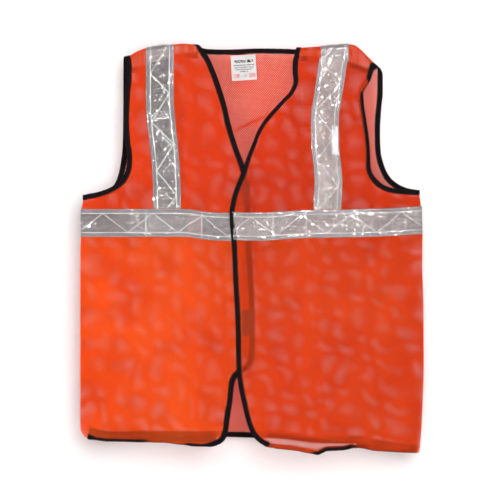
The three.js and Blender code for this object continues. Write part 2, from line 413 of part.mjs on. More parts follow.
// armhole bindings, each one loop
function armhole(rows, k, backRows, backCol, shoulder, shoulderCol, s) {
  const section = uSection(BIND_WIDTH, 2), stations = [];
  const front = rows.slice(k).map((r) => r.root[0]).map((p, i, a) => (i === a.length - 1 ? [p[0], p[1] - 0.8] : p));
  const rear = backRows.map((r) => r[backCol]).reverse().map(([x, q]) => [x, q + foldAt(x)]);
  const flat = (path, side, at, first, last) => {
    const d = mitres(path, side, false);
    if (first) d[0] = first;
    if (last) d[path.length - 1] = last;
    path.forEach((p, i) => stations.push(section.map(([w, n]) => at(p[0] + d[i][0] * w, p[1] + d[i][1] * w, n))));
  };
  const backXZ = (x, z, n) => BACK(x, z - foldAt(x), n), down = [0, -1], across = [-s, 0];
  flat(front, s > 0 ? 1 : -1, s > 0 ? FRONT_OVER : FRONT_UNDER, down);
  for (const r of shoulder.slice(1, -1).reverse()) {
    const [x, q] = r[shoulderCol];
    stations.push(section.map(([w, n]) => BACK(x - s * w, q, n)));
  }
  flat(rear, s > 0 ? -1 : 1, backXZ, across, down);
  // round the side fold under the arm
  const a = front[0], b = rear[rear.length - 1];
  const fa = (s > 0 ? FRONT_OVER : FRONT_UNDER)(a[0], a[1], 0), fb = backXZ(b[0], b[1], 0);
  const cx = (fa[0] + fb[0]) / 2, r = (fb[1] - fa[1]) / 2, cy = (fa[1] + fb[1]) / 2;
  for (const deg of [30, 60, 90, 120, 150]) {
    const t = (deg * Math.PI) / 180;
    stations.push(section.map(([w, n]) => [cx + s * (r + n) * Math.sin(t), cy + (r + n) * Math.cos(t), mix(fb[2], fa[2], deg / 180) - w]));
  }
  return sweep(stations, section, true);
}
const kArmR = LOW_R.length + 3 + 1, kArmL = LOW_L.length + 3 + 1, kArmB = LOW_B.length + 3 + 1;
node("right_armhole_binding", armhole(ROWS_R, kArmR, ROWS_B.slice(kArmB), 0, shoulderR, 0, -1), "bind");
node("left_armhole_binding", armhole(ROWS_L, kArmL, ROWS_B.slice(kArmB), 20, shoulderL, 8, 1), "bind");

// hook and loop fasteners
const patch = (surface, p, lo, hi) => sheet(surface, grid([0, 0.5, 1].map((v) => [0, 0.5, 1].map((u) => [mix(mix(p[0], p[1], u), mix(p[2], p[3], u), v), mix(p[4], p[5], v)]))), lo, hi);
node("hook_upper", patch(FRONT_OVER, [-28, -6, -15.5, -3, 446, 490], -1.5, -0.7), "hook");
node("hook_lower", patch(FRONT_OVER, [-18.2, 5, -18, 5.2, 213, 258.5], -1.5, -0.7), "hook");
node("loop_upper", patch(FRONT_UNDER, [-27, -6, -23, -10, 446, 490], 1.8, 2.2), "hook");
node("loop_lower", patch(FRONT_UNDER, [-20, 3, -20, 2.8, 213, 258.5], 1.8, 2.2), "hook");

// seam allowances
const strip = (surface, a, b, lo, hi) => sheet(surface, grid([a, b]), lo, hi);
const flatSeam = (side, z0, z1) => {
  const g = [], n = 8;
  for (let i = 0; i <= n; i++) {
    const z = mix(z0, z1, i / n), x = side(z), s = Math.sign(x);
    g.push([[x - s * 1, z], [x - s * 11, z]]);
  }
  return sheet((x, z, k) => [x, k, z], grid(g), -0.5, 0.5);
};
node("right_side_seam", flatSeam(sideR, 66, 440), "mesh");
node("left_side_seam", flatSeam(sideL, 66, 440), "mesh");
const seamStrip = (surface, rows, seam, n) => {
  const r = rows[rows.length - 1].root.slice(2, n).map(([x]) => x);
  return sheet(surface, grid([-9, 1.2].map((d) => r.map((x) => [x, seam(x) + d]))), -1.4, -0.8);
};
node("right_shoulder_seam", seamStrip(FRONT_UNDER, ROWS_R, seamR, 7), "mesh");
node("left_shoulder_seam", seamStrip(FRONT_OVER, ROWS_L, seamL, 7), "mesh");

// neck label, sewn along its top edge inside the back neck
{
  const { x0, x1, z0, z1, t } = LABEL, xm = (x0 + x1) / 2;
  const g = new THREE.BoxGeometry(x1 - x0, t, z1 - z0);
  const y = backY(xm, z1) - 2.4;
  g.translate(xm, y, (z0 + z1) / 2);
  node("neck_label", g, "label");
}

// origin: centre of the footprint, lowest point at zero
{
  const box = new THREE.Box3();
  vest.children.forEach((m) => {
    m.geometry.computeBoundingBox();
    box.union(m.geometry.boundingBox);
  });
  const c = box.getCenter(new THREE.Vector3());
  vest.children.forEach((m) => m.geometry.translate(-c.x, -c.y, -box.min.z));
}

export default vest;
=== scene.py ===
import json
import math
import bpy
import numpy as np
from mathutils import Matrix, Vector

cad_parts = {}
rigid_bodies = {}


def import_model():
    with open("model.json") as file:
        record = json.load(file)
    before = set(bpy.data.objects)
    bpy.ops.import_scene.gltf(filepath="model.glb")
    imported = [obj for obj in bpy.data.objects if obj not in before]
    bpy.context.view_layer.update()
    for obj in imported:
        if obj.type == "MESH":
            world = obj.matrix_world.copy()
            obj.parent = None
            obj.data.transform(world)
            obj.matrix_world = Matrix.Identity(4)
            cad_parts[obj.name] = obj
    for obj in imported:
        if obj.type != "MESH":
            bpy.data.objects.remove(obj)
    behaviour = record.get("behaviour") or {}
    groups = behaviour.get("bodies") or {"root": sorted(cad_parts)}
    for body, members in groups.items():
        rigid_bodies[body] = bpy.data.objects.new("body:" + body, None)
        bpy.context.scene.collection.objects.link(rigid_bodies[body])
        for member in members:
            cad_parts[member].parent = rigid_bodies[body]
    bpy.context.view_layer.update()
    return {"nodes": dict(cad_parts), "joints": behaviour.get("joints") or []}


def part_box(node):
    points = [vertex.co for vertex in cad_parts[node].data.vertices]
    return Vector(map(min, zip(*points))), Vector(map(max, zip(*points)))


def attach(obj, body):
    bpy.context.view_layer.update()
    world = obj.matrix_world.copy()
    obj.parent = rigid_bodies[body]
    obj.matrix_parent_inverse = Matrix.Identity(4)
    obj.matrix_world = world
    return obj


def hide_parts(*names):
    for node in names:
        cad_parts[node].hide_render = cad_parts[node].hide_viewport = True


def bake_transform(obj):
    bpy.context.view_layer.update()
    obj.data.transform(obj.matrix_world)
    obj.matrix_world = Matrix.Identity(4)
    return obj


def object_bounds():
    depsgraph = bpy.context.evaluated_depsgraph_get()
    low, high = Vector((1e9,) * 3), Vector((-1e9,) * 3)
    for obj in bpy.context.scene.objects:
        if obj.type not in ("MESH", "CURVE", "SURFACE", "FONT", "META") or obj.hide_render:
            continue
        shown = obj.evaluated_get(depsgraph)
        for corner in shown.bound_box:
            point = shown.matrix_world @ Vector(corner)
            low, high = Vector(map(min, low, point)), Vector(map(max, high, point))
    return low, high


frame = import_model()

MM = 0.001
rng = np.random.default_rng(7)

# ------------------------------------------------------------------ tables (mm)
SIDE_GAP, SHOULDER_DEPTH, FRONT_BELLY, BACK_BELLY, CLOSED_AT = 2.2, 6.8, 21, 26, 730
FOLD_RISE, FOLD_LENGTH, OVERLAP_LIFT, LIFT_FROM, LIFT_RUN = 10, 30, 4, 85, 75
TAPE_HALF, BIND_WIDTH = 25, 9
HINGE_LEFT = dict(low=(104, 0), high=(79, 665), top=640)
HINGE_RIGHT = dict(low=(-104, 0), high=(-92, 700), top=680)
SIDE_R = [[27, -297], [31.5, -302.4], [36.9, -306], [45, -309.1], [63, -309.6], [189, -309.6], [352.8, -309.6], [391.5, -308.5], [439.7, -307.4], [450.2, -305.5], [466, -300.5]]
ARM_FRONT_R = [[471, -277], [477.7, -258.3], [488.2, -241.2], [503.5, -229.5], [519.3, -225], [535.3, -224.3], [558, -227.2], [592.2, -229.9], [637.2, -228.8], [668, -226], [694, -224.5]]
ARM_BACK_R = [[469.8, -276.7], [479.7, -253.8], [493.2, -244.6], [512.5, -238.9], [558.4, -233.1], [627.3, -232], [686.9, -231.7], [705, -231.6]]
SIDE_L = [[1.8, 296.5], [7.7, 301.1], [23, 303.7], [64.8, 306.5], [154.3, 309.6], [273.8, 309.2], [333.4, 307.1], [394.2, 307.6], [446.4, 304.6], [466, 301.5], [474.8, 297.5]]
ARM_FRONT_L = [[476.8, 262.8], [480.5, 244.8], [488.7, 230.4], [504, 217.3], [517, 212.9], [540, 212], [567, 210.2], [599.4, 205.7], [629.1, 201.2], [651.6, 199.8], [663.3, 206.3], [673.2, 212.8], [681.3, 215.5], [690.3, 217.8]]
ARM_BACK_L = [[477.3, 283.7], [484.9, 265.3], [498.6, 249.3], [521.6, 237.8], [546.8, 232], [581.4, 230.9], [627.3, 233.3], [650.2, 235.6], [682.5, 235.6]]
EDGE_R = [[16.2, -66.6], [19.8, -56.7], [28.8, -48.1], [41.4, -43.9], [70.2, -39.8], [90.9, -36.5], [127.8, -32], [139.5, -27], [144.7, -20.7], [151.2, -9], [163.8, 0], [178.2, 3.6], [198, 4.3], [273.6, 3.6], [322.2, 1.1], [385.2, -2.5], [432, -3.6], [455.4, -4.5], [478.8, -7.6], [495, -9], [521.6, -14.9], [549.2, -25.4], [590.6, -38], [629.5, -47.2], [666.4, -58.7], [696.1, -70], [719.1, -81.5], [723, -85.4]]
EDGE_L = [[13.3, 32.4], [15.5, 25.2], [20.3, 15.7], [28.8, 5.8], [41.2, -2.5], [65, -10.8], [90.9, -16.9], [118.3, -22.7], [141.3, -25.9], [162, -27.2], [221.6, -28.4], [270.7, -30.4], [311.9, -32.9], [363.6, -34.9], [389.5, -36.5], [417.8, -39.4], [432.2, -39.8], [450.9, -37.3], [470.5, -32.6], [487.1, -26.5], [509.8, -17.1], [542.3, -5.6], [558.4, 1.4], [581.4, 10.6], [599.8, 22], [613.4, 33.5], [636.5, 54.2], [652.5, 69.1], [673.2, 75.6], [686.9, 73.6], [707.6, 74.2], [718.2, 77.4]]
HEM_FRONT_R = [[-297, 27], [-287.6, 26.3], [-277.2, 25], [-266.9, 23.6], [-235.8, 22.9], [-194.4, 22], [-156.6, 21.6], [-145.8, 20.2], [-120.6, 17.3], [-108, 15.5], [-93.6, 14.8], [-76.3, 15.1], [-66.6, 16.2]]
HEM_FRONT_L = [[32.4, 13.3], [46.8, 10.6], [77.4, 7.4], [98.5, 3.2], [108.7, 1.4], [118.1, 0.2], [126.4, 3.2], [134.6, 6.8], [150.1, 7.4], [167.4, 8.6], [179.5, 11.5], [192.1, 11.5], [209.3, 8.8], [223.2, 6.5], [255.2, 4.5], [278.1, 2.7], [296.5, 1.8]]
HEM_BACK = [[-297, 27], [-273.6, 28.8], [-201.6, 29.7], [-93.6, 29.5], [-48.6, 28.8], [0, 27.4], [41.4, 26.3], [77.4, 22.5], [113.4, 18], [149.4, 17.1], [189, 17.1], [230.4, 9.9], [266.4, 5.4], [296.5, 1.8]]
TOP = [[-241, 709], [-235.4, 713.5], [-220.5, 717.8], [-207.9, 724.9], [-189.5, 731.7], [-143.6, 737.5], [-125.3, 739.3], [-97, 736.8], [-60, 735.5], [0, 734.5], [61, 732.5], [85.9, 731.9], [106.9, 733.2], [124.2, 734.4], [160, 737.4], [174.6, 738.2], [184, 736.8], [195, 729.5], [208.1, 716.5], [222, 702.5], [238, 687.5]]
SEAM_R = [[-226.8, 693.9], [-209.7, 695.7], [-160.2, 711], [-117, 721], [-85.4, 723]]
SEAM_L = [[77.4, 718.2], [91.8, 716.4], [122.4, 714.6], [167.4, 707.4], [210.6, 693], [217.8, 690.3]]
NECK = [[-92, 732], [-81.5, 729.6], [-47.2, 728.6], [14.4, 730.4], [64.8, 729.6], [79, 728.6]]
WAIST_FR = [[-309.6, 415.8], [-120.6, 415.8], [-93.6, 412.2], [-66.6, 409.3], [3.6, 407.5]]
WAIST_FL = [[-41.4, 411], [0, 409], [18, 409], [68.4, 412.2], [108, 414], [160.2, 414.7], [230.4, 416.5], [307.8, 421.2]]
WAIST_B = [[-309.6, 415.8], [-165.6, 414.9], [0, 412.2], [158.4, 414.9], [307.8, 421.2]]
VERT_R = [[0, -150], [443.5, -152.6], [505.8, -154.4], [547.2, -157.9], [588.6, -162.5], [639, -166.1], [735, -166]]
VERT_L = [[0, 135], [443.5, 135.7], [489.6, 137.7], [516.6, 135.7], [558, 131.8], [603, 131.4], [653.4, 138.6], [684, 142.9], [711, 146.7], [736, 149.4]]
LOW_R = [(16.2, 27), (19.8, 31.5), (28.8, 36.9), (41.4, 45), (63, 63), (144.7, 145), (345, 345)]
HIGH_R = [(455.4, 452), (467, 466), (475, 471), (483, 477.7), (493, 488.2), (507, 503.5), (523, 519.3), (541, 535.3), (565, 558), (600, 592), (645, 637.2), (680, 668), (723, 694)]
LOW_L = [(13.3, 1.8), (20.3, 7.7), (28.8, 23), (41.2, 40), (65, 64.8), (165, 165), (345, 345)]
HIGH_L = [(455, 452), (470.5, 474.8), (476, 476.8), (483, 480.5), (495, 488.7), (510, 504), (523, 517), (542, 540), (567, 567), (597, 599.4), (622, 629.1), (640, 651.6), (660, 663.3), (687, 673.2), (718.2, 690.3)]
LOW_B = [(27, 1.8), (31.5, 7.7), (36.9, 23), (45, 40), (63, 64.8), (210, 210), (345, 345)]
HIGH_B = [(452, 455), (466, 474.8), (469.8, 477.3), (479.7, 484.9), (493.2, 498.6), (512.5, 521.6), (535, 546.8), (558.4, 570), (592, 595), (627.3, 620), (655, 640)]
NECK_X = (-92.0, 79.0)
ANGLES = [0, 17, 34, 62, 90, 118, 149, 180, 200]
NECK_TOP_R = [-92, -92, -92, -94.5, -97, -95, -91, -88, -86]
NECK_TOP_L = [79, 79, 79, 80.3, 81, 80.4, 79.4, 78.4, 77.6]
ARM_TOP_R = [-231.6, -231.6, -231.4, -231, -230.4, -229.4, -228, -226.5, -224.6]
ARM_TOP_L = [235.6, 235.6, 235.4, 234, 231.5, 228, 224.5, 221, 218]


def curve(table):
    """Monotone cubic through a table, for arrays."""
    t = np.array(table, float)
    x, y = t[:, 0], t[:, 1]
    h, n = np.diff(x), len(x)
    d = np.diff(y) / h
    m = np.zeros(n)
    m[0], m[-1] = d[0], d[-1]
    for i in range(1, n - 1):
        if d[i - 1] * d[i] > 0:
            a, b = 2 * h[i] + h[i - 1], h[i] + 2 * h[i - 1]
            m[i] = (a + b) / (a / d[i - 1] + b / d[i])

    def f(v):
        v = np.asarray(v, float)
        c = np.clip(v, x[0], x[-1])
        i = np.clip(np.searchsorted(x, c, side="right") - 1, 0, n - 2)
        s = (c - x[i]) / h[i]
        s2, s3 = s * s, s * s * s
        return (2 * s3 - 3 * s2 + 1) * y[i] + (s3 - 2 * s2 + s) * h[i] * m[i] + (3 * s2 - 2 * s3) * y[i + 1] + (s3 - s2) * h[i] * m[i + 1]

    return f


def mix(a, b, t):
    return a + (b - a) * t


def smooth(t):
    t = np.clip(t, 0, 1)
    return t * t * (3 - 2 * t)


side_r, side_l, top = curve(SIDE_R), curve(SIDE_L), curve(TOP)
out_fr, out_fl = curve(SIDE_R + ARM_FRONT_R), curve(SIDE_L + ARM_FRONT_L)
out_br, out_bl = curve(SIDE_R + ARM_BACK_R), curve(SIDE_L + ARM_BACK_L)
edge_r, edge_l = curve(EDGE_R), curve(EDGE_L)
hem_fr, hem_fl, hem_b = curve(HEM_FRONT_R), curve(HEM_FRONT_L), curve(HEM_BACK)
seam_r, seam_l, neck = curve(SEAM_R), curve(SEAM_L), curve(NECK)
waist_fr, waist_fl, waist_b = curve(WAIST_FR), curve(WAIST_FL), curve(WAIST_B)
vert_r, vert_l = curve(VERT_R), curve(VERT_L)

# the frame's own place for the label fixes the shift between these tables and the row frame
LABEL = dict(x0=-39, x1=6.3, z1=719.5, z0=674)


# ------------------------------------------------------------------ noise
def lattice(ix, iy, seed):
    n = (ix.astype(np.int64) * 374761393 + iy.astype(np.int64) * 668265263 + seed * 974634777) & 0xFFFFFFFF
    n = ((n ^ (n >> 13)) * 1274126177) & 0xFFFFFFFF
    return ((n ^ (n >> 16)) & 0xFFFF) / 65535.0


def noise(x, y, seed=0):
    """Smooth value noise, 0 to 1."""
    x, y = np.broadcast_arrays(np.asarray(x, float), np.asarray(y, float))
    ix, iy = np.floor(x), np.floor(y)
    fx, fy = x - ix, y - iy
    fx, fy = fx * fx * fx * (fx * (fx * 6 - 15) + 10), fy * fy * fy * (fy * (fy * 6 - 15) + 10)
    a, b = lattice(ix, iy, seed), lattice(ix + 1, iy, seed)
    c, d = lattice(ix, iy + 1, seed), lattice(ix + 1, iy + 1, seed)
    return mix(mix(a, b, fx), mix(c, d, fx), fy)


def ridged(x, y, seed=0):
    """Sharp creases: 1 on the ridge lines."""
    return 1 - np.abs(2 * noise(x, y, seed) - 1)


# ------------------------------------------------------------------ wrinkles
def crease(x, z, x0, z0, x1, z1, amp, wide, fade=40.0):
    """A packing fold along a line: a sharp ridge that dies away to both sides and at its ends."""
    dx, dz = x1 - x0, z1 - z0
    length = math.hypot(dx, dz)
    ux, uz = dx / length, dz / length
    along = (x - x0) * ux + (z - z0) * uz
    across = (x - x0) * uz - (z - z0) * ux
    ends = smooth(along / fade) * smooth((length - along) / fade)
    return amp * ends * np.exp(-np.sqrt(across * across + 1.0) / wide)


WRINKLE = {"front": None, "back": None}


def sampled(field, x, z):
    """Bicubic-like smooth lookup in a simulated height field."""
    if field is None:
        return np.zeros(np.broadcast(x, z).shape)
    x0, z0, step, h = field
    u, v = (np.asarray(x) - x0) / step, (np.asarray(z) - z0) / step
    u, v = np.clip(u, 0, h.shape[1] - 1.001), np.clip(v, 0, h.shape[0] - 1.001)
    i, j = np.floor(v).astype(int), np.floor(u).astype(int)
    a, b = v - i, u - j
    a, b = a * a * (3 - 2 * a), b * b * (3 - 2 * b)
    return mix(mix(h[i, j], h[i, j + 1], b), mix(h[i + 1, j], h[i + 1, j + 1], b), a)


def front_wave(x, z):
    d = 1.5 * (noise(x / 95, z / 150, 3) - 0.5) + 1.1 * (noise(x / 46, z / 70, 4) - 0.5)
    d = d + 0.5 * (noise(x / 21, z / 30, 5) - 0.5)
    d = d - crease(x, z, -113, 392, -98, 20, 2.6, 9)
    d = d - crease(x, z, 104, 392, 131, 40, 2.4, 10)
    d = d + crease(x, z, -309, 366, -205, 360, 1.6, 6, 20)
    d = d - crease(x, z, -215, 380, -222, 120, 1.0, 14)
    d = d + crease(x, z, 210, 390, 226, 150, 1.2, 14)
    d = d - crease(x, z, -190, 640, -120, 480, 0.9, 12)
    d = d + crease(x, z, -118, 690, -108, 470, 1.0, 9)
    d = d + crease(x, z, 150, 660, 205, 640, 1.6, 6, 15)
    d = d - crease(x, z, -260, 60, -150, 90, 1.2, 10, 25)
    d = d + crease(x, z, 170, 95, 300, 60, 1.3, 9, 25)
    d = d - crease(x, z, 30, 120, 110, 60, 1.0, 9, 20)
    return d + sampled(WRINKLE["front"], x, z)


def back_wave(x, z):
    d = 1.6 * (noise(x / 105, z / 160, 13) - 0.5) + 1.0 * (noise(x / 50, z / 80, 14) - 0.5)
    d = d + 0.4 * (noise(x / 22, z / 30, 15) - 0.5)
    d = d + crease(x, z, -60, 568, 60, 620, 2.4, 5, 14)
    d = d - crease(x, z, -105, 640, -100, 60, 1.6, 10)
    d = d - crease(x, z, 108, 640, 112, 60, 1.6, 10)
    d = d + crease(x, z, -290, 330, 290, 336, 1.4, 8)
    return d + sampled(WRINKLE["back"], x, z)


# ------------------------------------------------------------------ surfaces
def crown(x, z):
    h = np.clip(z, 64, 446)
    half = np.where(x < 0, -side_r(h), side_l(h)) + 0.01
    return np.maximum(0, 1 - (np.abs(x) / half) ** 2.6) ** 0.85


def fade_out(x, z, c):
    return smooth(c * 3.2) * smooth((712 - z) / 70)


def front_y(x, z):
    c = crown(x, z)
    y = -(SIDE_GAP + c * (SHOULDER_DEPTH + FRONT_BELLY * np.maximum(0, CLOSED_AT - z) / CLOSED_AT))
    return y + front_wave(x, z) * fade_out(x, z, c)


def back_y(x, z):
    c = crown(x, z)
    y = SIDE_GAP + c * (SHOULDER_DEPTH + BACK_BELLY * smooth((CLOSED_AT - z) / 250) - 5 * np.maximum(0, 480 - z) / 480)
    return y + back_wave(x, z) * fade_out(x, z, c)


def fold_at(x):
    return top(x) - FOLD_RISE


ROLL_R = 1.7


def roll_r(x):
    """How far the right front's hem is turned under, 0 to 1."""
    part = 0.48 * smooth((x + 296) / 14) * smooth((-62 - x) / 26)
    return part + 0.52 * smooth((x + 196) / 14) * smooth((-112 - x) / 14)


def roll_l(x):
    part = 0.4 * smooth((x - 20) / 20)
    a = 0.6 * smooth((x - 14) / 22) * smooth((116 - x) / 10)
    b = 0.6 * smooth((x - 178) / 14)
    return np.clip(part + a + b, 0, 1)


def rolled(x, z, y, start, inward):
    """Turns the cloth below height start round to its inner side."""
    u = np.maximum(0, start - z)
    a = np.minimum(u / ROLL_R, math.pi)
    zz = np.where(u > 0, start - ROLL_R * np.sin(a) + np.maximum(0, u - math.pi * ROLL_R), z)
    return y + inward * ROLL_R * (1 - np.cos(a)), zz


def hem_start(x, sil, roll):
    return np.where(roll > 0.01, sil + ROLL_R * np.minimum(1, roll * 2), -1e4)


def under(x, q):
    x, q = np.broadcast_arrays(x, q)
    st = hem_start(x, hem_fr(x), roll_r(x))
    y, z = rolled(x, q, front_y(x, np.maximum(q, st)), st, 1)
    return np.stack([x, y, z], -1)


def over(x, q):
    x, q = np.broadcast_arrays(x, q)
    st = hem_start(x, hem_fl(x), roll_l(x))
    y, z = rolled(x, q, front_y(x, np.maximum(q, st)), st, 1)
    return np.stack([x, y - OVERLAP_LIFT * smooth((LIFT_FROM - x) / LIFT_RUN), z], -1)


def back(x, q):
    x, q = np.broadcast_arrays(np.asarray(x, float), np.asarray(q, float))
    zs = fold_at(x)
    a = np.clip(math.pi * q / FOLD_LENGTH, 0, math.pi)
    yb, yf = back_y(x, zs + np.minimum(q, 0)), front_y(x, zs - np.maximum(q - FOLD_LENGTH, 0))
    y = np.where(a < math.pi / 2, yb * np.cos(a), -yf * np.cos(a))
    z = np.where(q <= 0, zs + q, np.where(q >= FOLD_LENGTH, zs - (q - FOLD_LENGTH), zs + FOLD_RISE * np.sin(a)))
    return np.stack([x, y, z], -1)


def back_xz(x, z):
    return back(x, z - fold_at(x))


def back_over(x, q):
    p = back(x, q)
    p[..., 1] -= np.where(np.broadcast_to(q, p.shape[:-1]) >= FOLD_LENGTH, OVERLAP_LIFT * smooth((LIFT_FROM - np.asarray(x)) / LIFT_RUN) * (np.asarray(x) > 0), 0)
    return p


def off(surface, turn, x, q, n):
    e = 0.3
    p = surface(x, q)
    u = surface(x + e, q) - surface(x - e, q)
    v = surface(x, q + e) - surface(x, q - e)
    m = np.cross(u, v)
    m /= np.linalg.norm(m, axis=-1, keepdims=True) + 1e-12
    return p + m * turn * np.asarray(n)[..., None] if np.ndim(n) else p + m * (turn * n)


def U(x, q, n):
    return off(under, 1, x, q, n)


def O(x, q, n):
    return off(over, 1, x, q, n)


def B(x, q, n):
    return off(back, -1, x, q, n)


def BZ(x, z, n):
    return off(back, -1, x, z - fold_at(x), n)


def drape(name, seed, grow, waist):
    """A pinned sheet of slightly oversized cloth, let fall: its folds give the wrinkle height over the pattern, in mm."""
    nx, nz = 63, 74
    x, z = np.linspace(-310, 310, nx), np.linspace(8, 738, nz)
    X, Z = np.meshgrid(x, z)
    y = 3.0 * (noise(X / 60, Z / 90, seed) - 0.5) + 1.5 * (noise(X / 25, Z / 40, seed + 1) - 0.5)
    i = np.arange(nx * nz).reshape(nz, nx)
    me = bpy.data.meshes.new(name)
    me.from_pydata((np.stack([X, y, Z], -1).reshape(-1, 3) * MM).tolist(), [], np.stack([i[:-1, :-1], i[:-1, 1:], i[1:, 1:], i[1:, :-1]], -1).reshape(-1, 4).tolist())
    o = bpy.data.objects.new(name, me)
    bpy.context.scene.collection.objects.link(o)
    pins = o.vertex_groups.new(name="pins")
    pins.add(i[-2:].ravel().tolist() + i[:, 0].tolist() + i[:, -1].tolist(), 1.0, "REPLACE")
    row = int(round((waist - 8) / 10))
    pins.add(i[row, ::6].ravel().tolist(), 0.6, "REPLACE")
    mod = o.modifiers.new("drape", "CLOTH")
    c = mod.settings
    c.quality, c.mass, c.air_damping = 6, 0.12, 2.0
    c.tension_stiffness, c.compression_stiffness, c.shear_stiffness, c.bending_stiffness = 12, 12, 4, 0.25
    c.vertex_group_mass, c.pin_stiffness, c.shrink_min = "pins", 1.0, -grow
    mod.collision_settings.use_self_collision = False
    mod.point_cache.frame_start, mod.point_cache.frame_end = 1, 40
    for f in range(1, 41):
        bpy.context.scene.frame_set(f)
    ev = o.evaluated_get(bpy.context.evaluated_depsgraph_get())
    m = ev.to_mesh()
    co = np.zeros(len(m.vertices) * 3)
    m.vertices.foreach_get("co", co)
    ev.to_mesh_clear()
    bpy.context.scene.frame_set(1)
    bpy.data.objects.remove(o)
    bpy.data.meshes.remove(me)
    h = co.reshape(nz, nx, 3)[:, :, 1] / MM
    h = np.nan_to_num(h - np.median(h))
    for _ in range(2):
        h[1:-1, 1:-1] = (h[1:-1, 1:-1] * 2 + h[:-2, 1:-1] + h[2:, 1:-1] + h[1:-1, :-2] + h[1:-1, 2:]) / 6
    h *= 1.5 / max(1e-6, float(h.std()))
    h = 3.2 * np.tanh(h / 3.2)
    return (-310.0, 8.0, 10.0, h)


WRINKLE["front"] = drape("front_drape", 201, 0.035, 412)
WRINKLE["back"] = drape("back_drape", 207, 0.03, 414)

lo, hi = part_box("neck_label")
xm = (LABEL["x0"] + LABEL["x1"]) / 2


def plain_back_y(x, z):
    c = crown(x, z)
    return SIDE_GAP + c * (SHOULDER_DEPTH + BACK_BELLY * smooth((CLOSED_AT - z) / 250) - 5 * np.maximum(0, 480 - z) / 480)


SHIFT = np.array([
    (lo.x + hi.x) / 2 / MM - xm,
    (lo.y + hi.y) / 2 / MM - (float(plain_back_y(np.array(xm), np.array(719.5))) - 2.4),
    hi.z / MM - LABEL["z1"],
])


# ------------------------------------------------------------------ mesh building
def build(name, points, faces, uv, material, sharp=None, sewn=(), thread=None):
    """points in mm, uv per point. sharp: number per point; edges between two points of one number stay crisp. sewn: 3-D lines that get a row of stitches."""
    me = bpy.data.meshes.new(name)
    faces = faces if isinstance(faces, list) else faces.tolist()
    body = len(faces)
    points, uv = np.asarray(points), np.asarray(uv)
    for line in sewn:
        p, f, w = threads(line, base=len(points))
        points, uv, faces = np.concatenate([points, p]), np.concatenate([uv, w / 100]), faces + f
        if sharp is not None:
            sharp = np.concatenate([sharp, np.zeros(len(p), int)])
    pts = (points + SHIFT) * MM
    me.from_pydata(pts.tolist(), [], faces)
    n = len(me.loops)
    idx = np.zeros(n, np.int32)
    me.loops.foreach_get("vertex_index", idx)
    layer = me.uv_layers.new(name="pattern")
    layer.data.foreach_set("uv", np.asarray(uv, np.float32)[idx].ravel())
    me.polygons.foreach_set("use_smooth", np.ones(len(me.polygons), bool))
    if sharp is not None:
        ed = np.zeros(len(me.edges) * 2, np.int32)
        me.edges.foreach_get("vertices", ed)
        ed = ed.reshape(-1, 2)
        flag = (sharp[ed[:, 0]] > 0) & (sharp[ed[:, 0]] == sharp[ed[:, 1]])
        attr = me.attributes.new("sharp_edge", "BOOLEAN", "EDGE")
        attr.data.foreach_set("value", flag)
    me.materials.append(material)
    if len(sewn):
        me.materials.append(thread)
        index = np.zeros(len(me.polygons), np.int32)
        index[body:] = 1
        me.polygons.foreach_set("material_index", index)
    me.validate()
    me.update()
    o = bpy.data.objects.new(name, me)
    bpy.context.scene.collection.objects.link(o)
    return o


def outward(points, faces):
    """Turns all faces round if the closed mesh is inside out."""
    f = np.asarray(faces)
    a, b, c = points[f[:, 0]], points[f[:, 1]], points[f[:, 2]]
    v = np.einsum("ij,ij->i", a, np.cross(b, c)).sum()
    if f.shape[1] == 4:
        d = points[f[:, 3]]
        v += np.einsum("ij,ij->i", a, np.cross(c, d)).sum()
    return f[:, ::-1] if v < 0 else f


def sheet(name, grids, surface, lo, hi, material, uv=None, sewn=(), thread=None):
    """A cloth solid from pattern grids [(X, Q), ...], between offsets lo and hi."""
    flat, quads, uvs, base = [], [], [], 0
    for g in grids:
        X, Q = g[0], g[1]
        r, c = X.shape
        i = np.arange(r * c).reshape(r, c) + base
        quads.append(np.stack([i[:-1, :-1], i[:-1, 1:], i[1:, 1:], i[1:, :-1]], -1).reshape(-1, 4))
        flat.append(np.stack([X, Q], -1).reshape(-1, 2))
        uvs.append(np.stack(uv(X, Q) if uv else (X, Q), -1).reshape(-1, 2))
        base += r * c
    flat, quads, uvs = np.concatenate(flat), np.concatenate(quads), np.concatenate(uvs)
    if len(grids) > 1:
        _, first, inv = np.unique(np.round(flat, 2), axis=0, return_index=True, return_inverse=True)
        flat, uvs, quads = flat[first], uvs[first], inv.reshape(-1)[quads]
    n = len(flat)
    a, b = surface(flat[:, 0], flat[:, 1], lo), surface(flat[:, 0], flat[:, 1], hi)
    points = np.concatenate([a, b])
    e = np.concatenate([quads[:, [0, 1]], quads[:, [1, 2]], quads[:, [2, 3]], quads[:, [3, 0]]])
    code, back_code = e[:, 0] * n + e[:, 1], e[:, 1] * n + e[:, 0]
    rim = e[~np.isin(code, back_code)]
    faces = np.concatenate([quads, quads[:, ::-1] + n, np.stack([rim[:, 1], rim[:, 0], rim[:, 0] + n, rim[:, 1] + n], -1)])
    sharp = np.zeros(2 * n, int)
    sharp[np.unique(rim)] = 1
    sharp[np.unique(rim) + n] = 2
    return build(name, points, outward(points, faces), np.concatenate([uvs, uvs]) / 100, material, sharp, sewn, thread)


def tube(stations, closed):
    """Faces of a sweep: stations is (N, M, 3), each a closed ring of M points."""
    n, m = stations.shape[:2]
    i = np.arange(n * m).reshape(n, m)
    j = np.roll(i, -1, 1)
    if closed:
        k, l = np.roll(i, -1, 0), np.roll(j, -1, 0)
        return np.stack([i, j, l, k], -1).reshape(-1, 4).tolist()
    f = np.stack([i[:-1], j[:-1], j[1:], i[1:]], -1).reshape(-1, 4).tolist()
    return f


